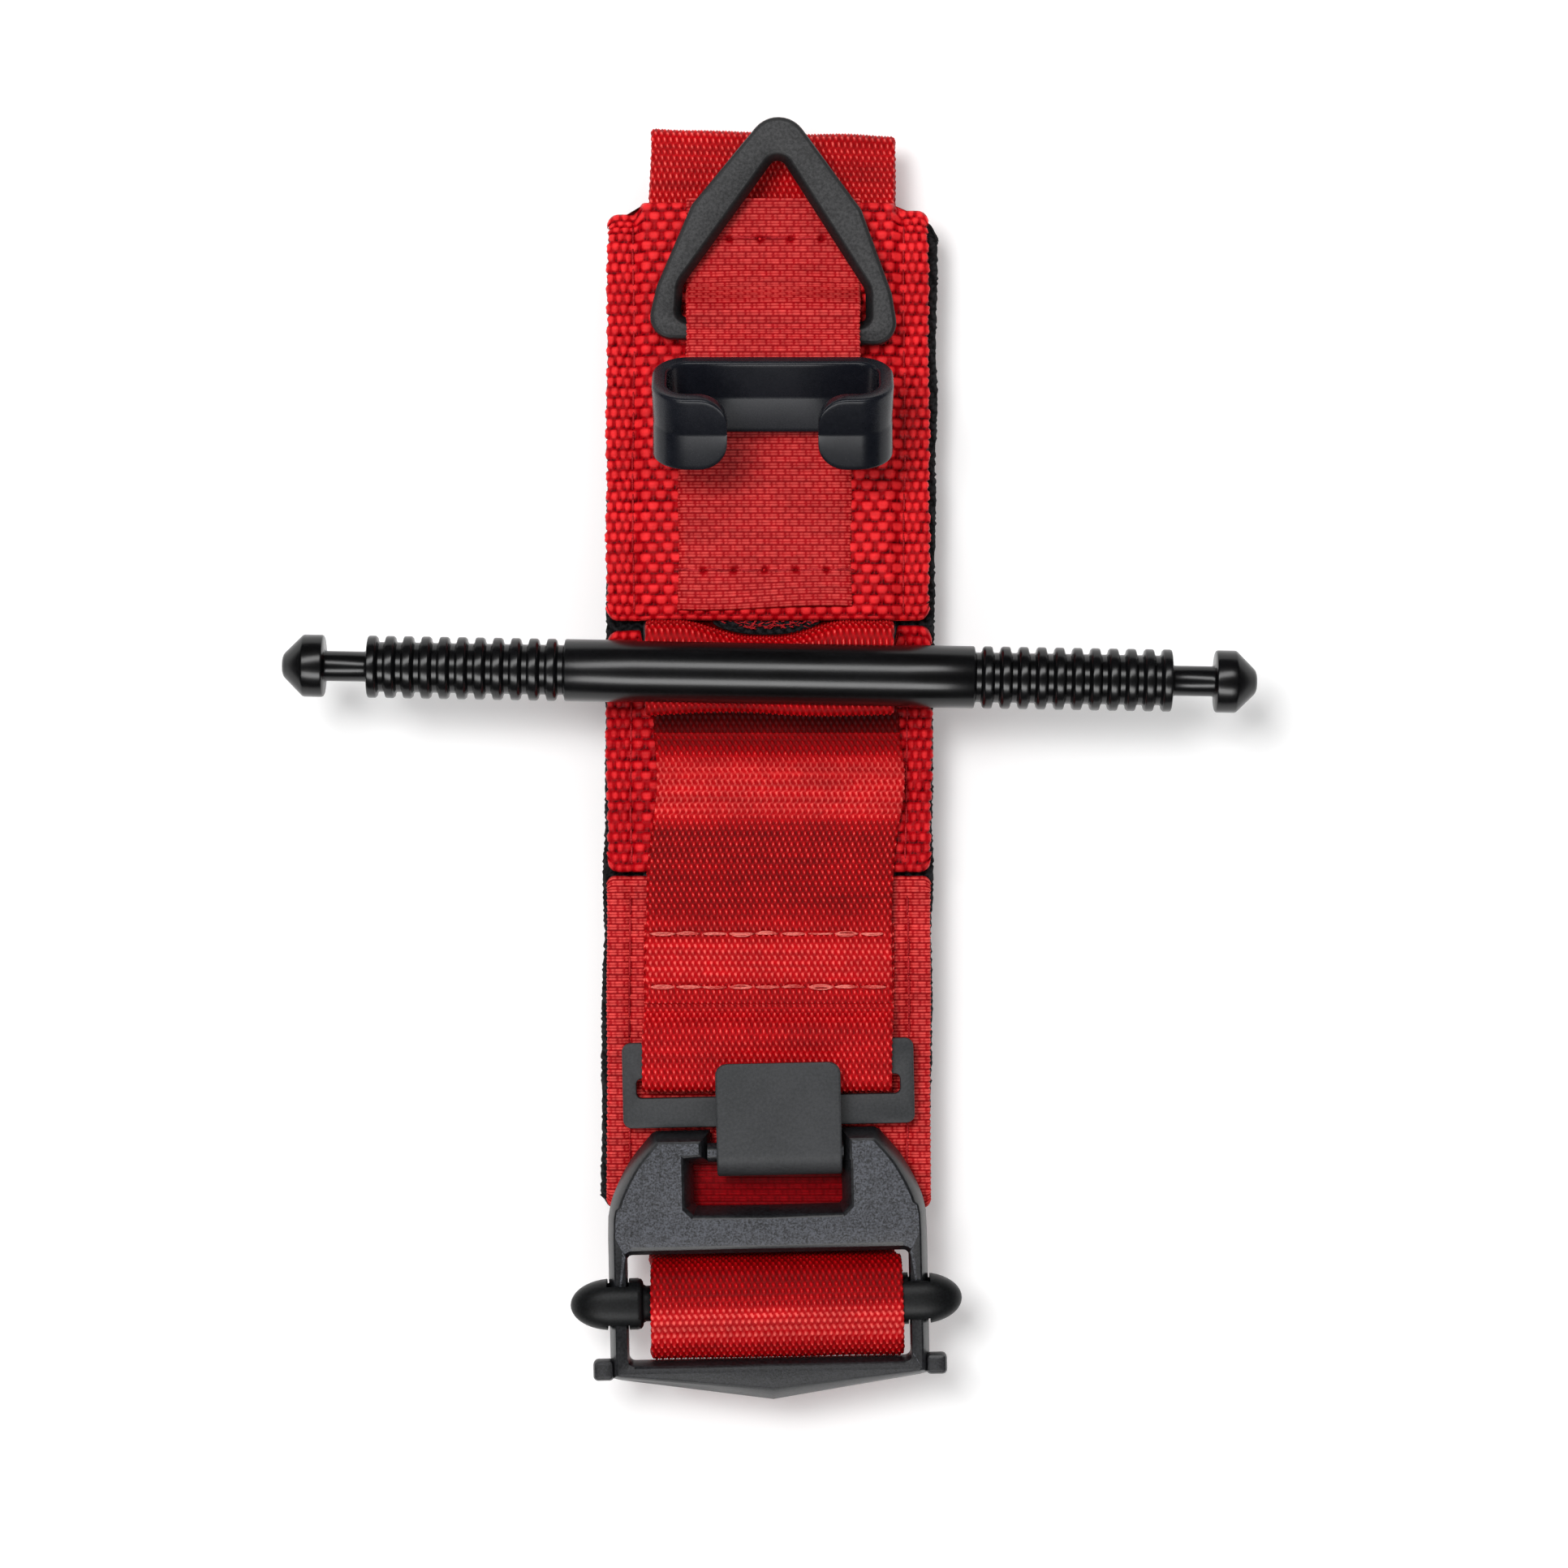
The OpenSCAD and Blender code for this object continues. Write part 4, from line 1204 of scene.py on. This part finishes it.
def build_buckle_frame():
    """A cast frame: two rails, a chevron lower bar, a notched upper bar, a crossbar and two end stops."""
    z0, z1 = frame_z, frame_z + frame_t
    side = rail_x[1]
    half = [(23.0, -95.2), (24.2, -94.9), (side, -94), (side, -86), (side, -73)]
    half += spline([(side - 0.1, -70), (side - 1, -66.6), (side - 3.6, -61.6), (side - 7.0, -57.5)], 6)
    half += [(side - 7.7, -57.1)]
    notch = [(11.45, -57.1), (11.45, -62.1), (11.6, -62.3), (11.6, -68.2), (11.1, -68.7), (0.4, -68.8)]
    left = [(-10.7, -68.7), (-11.2, -68.2), (-11.2, -62.3), (-8.5, -62.1), (-8.5, -57.1)]
    outline = [(0.4, -98.6)] + half + notch + left + [(-x, y) for x, y in half[::-1]]

    def slope(x, y):
        """How wide the outline's sloping rim is: wide along the lower bar, narrow along the rails."""
        if y < -94.6:
            return 1.6 - 0.85 * abs(x) / 23
        return 0.72 if abs(x) > 24 else 1.0

    rim = [slope(x, y) for x, y in outline]
    wall = [(0.4, z0), (0.12, z0 + 0.12), (0, z0 + 0.45), (0, z0 + 1.6),
            (1.15, z1 - 0.5), (1.4, z1 - 0.16), (1.75, z1)]
    inner_x = rail_x[0]
    window = rounded([(-inner_x, -92.3), (inner_x, -92.3), (inner_x, -75.8), (-inner_x, -75.8)], 0.9)
    ease = [0.42 if abs(x) > inner_x - 0.2 else (1.6 if y > -80 else 1.0) for x, y in window]
    inner = [(0.4, z0), (0, z0 + 0.4), (0, z1 - 1.6), (0.45, z1 - 0.5), (0.8, z1)]
    body = solid([(outline, rim, wall), (window, ease, inner)])
    # The upper bar's face is cut along its middle and falls a little to both sides.
    bm = bmesh.new()
    points = [bm.verts.new(v) for v in body[0]]
    for f in body[1]:
        if len(set(f)) == len(f):
            bm.faces.new([points[i] for i in f])
    geometry = bm.verts[:] + bm.edges[:] + bm.faces[:]
    bmesh.ops.bisect_plane(bm, geom=geometry, plane_co=(0.4, 0, 0), plane_no=(1, 0, 0))
    for v in bm.verts:
        if v.co.z > z1 - 0.3 and v.co.y < -69.2 and abs(v.co.x) < 22.5:
            v.co.z -= 0.02 * abs(v.co.x - 0.4)
    bm.verts.index_update()
    body = [tuple(v.co) for v in bm.verts], [[v.index for v in f.verts] for f in bm.faces]
    bm.free()
    crossbar = placed(turned([(-8.9, 1.5), (11.9, 1.5)], 40), Matrix.Translation((0, hook_y, hook_z)))
    tab_x, tab_half, tab_low, tab_high = 25.5, 1.6, -95.0, -91.8
    tab_wall = [(0.5, z0 + 1.2), (0, z0 + 1.8), (0, z1 - 2.0), (0.25, z1 - 1.4), (0.7, z1 - 1.2)]
    tabs = []
    for side in (-1, 1):
        x0, x1 = side * tab_x - tab_half, side * tab_x + tab_half
        points = rounded([(x0, tab_low), (x1, tab_low), (x1, tab_high), (x0, tab_high)], 0.75, 5)
        tabs.append(solid([(points, 1, tab_wall)]))
    part = placed(joined(body, crossbar, *tabs), Matrix.Translation((frame_shift, 0, 0)) @ skewed)
    hard("buckle_frame", part, FRAME, 24, walls=FRAME_EDGE, low=(FRAME_LOW, -92))


def build_lock_bar():
    """A bar with a rounded lobe at each end, each slotted for its rail."""
    inner, end, reach, radius = strap_w / 2 - 0.15, 30.0, 6.4, 3.9
    profile = [(0, 2.7), (inner - 0.5, 2.7), (inner - 0.1, 2.9), (inner, 3.4), (inner + 0.25, 3.75),
               (inner + 0.8, radius)]
    for t in np.linspace(0, math.pi / 2, 22)[:-1]:
        profile.append((end - reach + reach * math.sin(t), radius * math.cos(t)))
    profile.append((end, 0.12))
    bar = turned([(-x, r) for x, r in profile[::-1]] + profile[1:], 72, 1.02, 2.5)
    gap, bar_shift = 0.25, -1.0
    z = frame_t / 2 + gap
    slots = []
    for side in (-1, 1):
        x = sorted((side * (rail_x[0] - gap), side * (rail_x[1] + gap)))
        slots.append(block(x, (-6, 6), (-z, z)))
    place = skewed @ Matrix.Translation((0, lock_y, lock_z))
    part = placed(bar, Matrix.Translation((bar_shift, 0, 0)) @ place)
    cutter = placed(joined(*slots), Matrix.Translation((frame_shift, 0, 0)) @ place)
    hard("lock_bar", part, BAR, 40, cutter)


# --- Ring, clip and windlass ------------------------------------------

def build_ring():
    """A moulded rounded triangle with a bevel round its hole, tilted a little as it lies."""
    thick = 3.0
    outer = rounded([(-19.6, -1.6), (19.6, -1.6), (18, 6.4), (13, 18.9), (0, 35.5), (-13, 18.9), (-18, 6.4)],
                    [3.4, 3.4, 5, 2, 4.6, 2, 5], 10)
    inner = rounded([(-14.2, 1.8), (14.2, 1.8), (14, 6.8), (0, 27.2), (-14, 6.8)], [1, 1, 3, 1.4, 3], 8)
    h = thick / 2
    edge = [(0.55, -h), (0.16, -h + 0.16), (0, -h + 0.5), (0, h - 0.55), (0.18, h - 0.18), (0.6, h)]
    bevel = [(0.55, -h), (0.16, -h + 0.16), (0, -h + 0.5), (0, h - 1.4), (0.85, h - 0.25), (1.2, h)]
    place = (Matrix.Translation((ring_x, ring_y, ring_z)) @ Matrix.Rotation(math.radians(-1.7), 4, "Z")
             @ Matrix.Rotation(math.radians(3), 4, "X"))
    part = placed(solid([(outer, 1, edge), (inner, 1, bevel)]), place)
    hard("pull_ring", part, RING, 40, walls=RING_EDGE)


def build_clip():
    """A C-shaped moulding with two rounded lips, and the bridge under it that holds the ribbon."""
    wall, height, half, corner, low = 2.3, 15.5, 18.2, 5.6, 0.8
    floor = low + wall / 2
    r = corner - wall / 2
    top = height - wall / 2
    cx = half - corner
    lip = 6.85
    right = [(lip + d, top) for d in (0, 0.04, 0.15, 0.35, 0.65, 1.0, 1.5, 2.1, 2.8, 3.6, 4.4)]
    right += arc((cx, height - corner), r, 90, 0, 14) + arc((cx, low + corner), r, 0, -90, 14)
    right += [(x, floor) for x in (9, 5, 0)]
    path = right + [(-x, z) for x, z in right[::-1][1:]]
    width, round_r = 6.0, 4.3

    def half_width(s, total):
        """Half the clip's width, rounded at the lips."""
        d = min(s, total - s)
        if d > round_r:
            return width
        return max(0.35, width - round_r + math.sqrt(max(0.0, round_r ** 2 - (round_r - d) ** 2)))

    shell = strip(path, wall, half_width, 0.5, 0.13, 5)
    under = [(-14.7, 1.3), (-14.7, -0.9), (-14.2, -1.3), (14.2, -1.3), (14.7, -0.9), (14.7, 1.3)]
    bridge = strip(under, 1.0, lambda s, total: 3.0, 0.25)
    place = Matrix.Translation((clip_x, clip_y, clip_z)) @ Matrix.Rotation(math.radians(32), 4, "X")
    part = placed(joined(shell, bridge), place)
    hard("windlass_clip", part, CLIP, 22)


def build_windlass():
    """One turned rod with grip rings, necks and knobs, slotted for the strap."""
    r = 4.75
    plain, grip_end, rings = 31.2, 61.2, 11
    pitch = (grip_end - plain) / rings
    root = r - 0.95
    half = 74.2
    knob = half - 6.4
    neck = 2.3
    profile = [(0, r), (20.2, r), (20.6, r), (plain - 0.25, r), (plain - 0.05, r - 0.12)]
    for i in range(rings):
        s = plain + i * pitch
        groove = 0.42 * pitch
        profile += [(s + 0.08, root + 0.2), (s + 0.25, root), (s + groove - 0.22, root),
                    (s + groove - 0.05, root + 0.2), (s + groove + 0.06, r - 0.28),
                    (s + groove + 0.3, r - 0.04), (s + groove + 0.5, r), (s + pitch - 0.35, r),
                    (s + pitch - 0.12, r - 0.08), (s + pitch - 0.02, r - 0.3)]
    profile += [(grip_end + 0.02, neck + 0.5), (grip_end + 0.12, neck + 0.15), (grip_end + 0.5, neck),
                (knob - 0.5, neck), (knob - 0.15, neck + 0.15), (knob, neck + 0.5), (knob + 0.02, r - 0.35),
                (knob + 0.15, r - 0.1), (knob + 0.4, r), (half - 3.4, r), (half - 3.1, r - 0.12),
                (half - 0.55, 2.1), (half - 0.25, 1.75), (half - 0.05, 1.2), (half, 0.5)]
    whole = [(-x, radius) for x, radius in profile[::-1]] + profile[1:]
    place = Matrix.Translation((rod_x, rod_y, rod_z)) @ Matrix.Rotation(rod_skew, 4, "Z")
    part = placed(turned(whole, 96), place)
    slot = placed(block((-20.25, 20.25), (-6, 6), (-1.1, 1.1)), place)
    hard("windlass", part, ROD, 40, slot)


for build in (build_backing, build_stiffener, build_upper_webbing, build_middle_webbing,
              build_lower_webbing, build_seams, build_upper_ribbon, build_lower_ribbon,
              build_ribbon_stitches, build_main_strap, build_tail, build_slit_shade_sheet,
              build_windlass_strap, build_front_strap, build_loop_stitches, build_hook_loop,
              build_buckle_strap, build_hook_plate, build_buckle_frame, build_lock_bar, build_ring,
              build_clip, build_windlass):
    build()


# --- Floor, light and camera ------------------------------------------

def build_floor():
    """A pale floor that glows faintly, which keeps the shadows light."""
    sh = Shader("pale floor", 0.85, Specular_IOR_Level=0.1, Emission_Color=(1, 1, 1, 1),
                Emission_Strength=0.1)
    tone = sh.noise(sh.place(), 3.0, 3.0, 0.5)
    sh.finish(sh.ramp(tone, [(0.3, (0.96, 0.96, 0.96)), (0.7, (0.98, 0.98, 0.98))]))
    reach, z = 3000.0, -0.15
    points = [(-reach, -reach, z), (reach, -reach, z), (reach, reach, z), (-reach, reach, z)]
    mesh = bpy.data.meshes.new("floor")
    mesh.from_pydata((np.array(points) * MM).tolist(), [], [[0, 1, 2, 3]])
    mesh.materials.append(sh.material)
    obj = bpy.data.objects.new("floor", mesh)
    bpy.context.scene.collection.objects.link(obj)


def softbox(name, place, reach, power, aim=(0, 0, 0.015)):
    """A studio light of a size in metres that points at the object."""
    light = bpy.data.lights.new(name, "AREA")
    light.shape = "RECTANGLE"
    light.size, light.size_y = reach
    light.energy = power
    obj = bpy.data.objects.new(name, light)
    obj.location = place
    obj.rotation_euler = (Vector(aim) - Vector(place)).to_track_quat("-Z", "Y").to_euler()
    bpy.context.scene.collection.objects.link(obj)
    return obj


def build_stage():
    """The key light makes no glare, the two strips make only glints, and the camera looks straight
    down."""
    scene = bpy.context.scene
    build_floor()
    world = bpy.data.worlds.new("studio")
    scene.world = world
    world.use_nodes = True
    background = world.node_tree.nodes["Background"]
    background.inputs["Color"].default_value = (1, 1, 1, 1)
    background.inputs["Strength"].default_value = 0.58
    world.cycles_visibility.glossy = False
    softbox("key", (-0.24, 0.22, 1.0), (0.34, 0.34), 6.6).visible_glossy = False
    softbox("upper_strip", (-0.1, 0.42, 0.95), (1.1, 0.30), 8.5).visible_diffuse = False
    softbox("lower_strip", (-0.1, -0.66, 0.90), (1.1, 0.36), 11.0).visible_diffuse = False
    camera = bpy.data.cameras.new("camera")
    camera.lens, camera.sensor_width = 100, 36
    camera.clip_start, camera.clip_end = 0.01, 10
    obj = bpy.data.objects.new("camera", camera)
    view_width, focus_z = 0.2415, 0.014
    obj.location = (0.0022, -0.0041, focus_z + view_width * camera.lens / camera.sensor_width)
    obj.rotation_euler = (0, 0, 0)
    scene.collection.objects.link(obj)
    scene.camera = obj
    scene.view_settings.view_transform = "Standard"


build_stage()
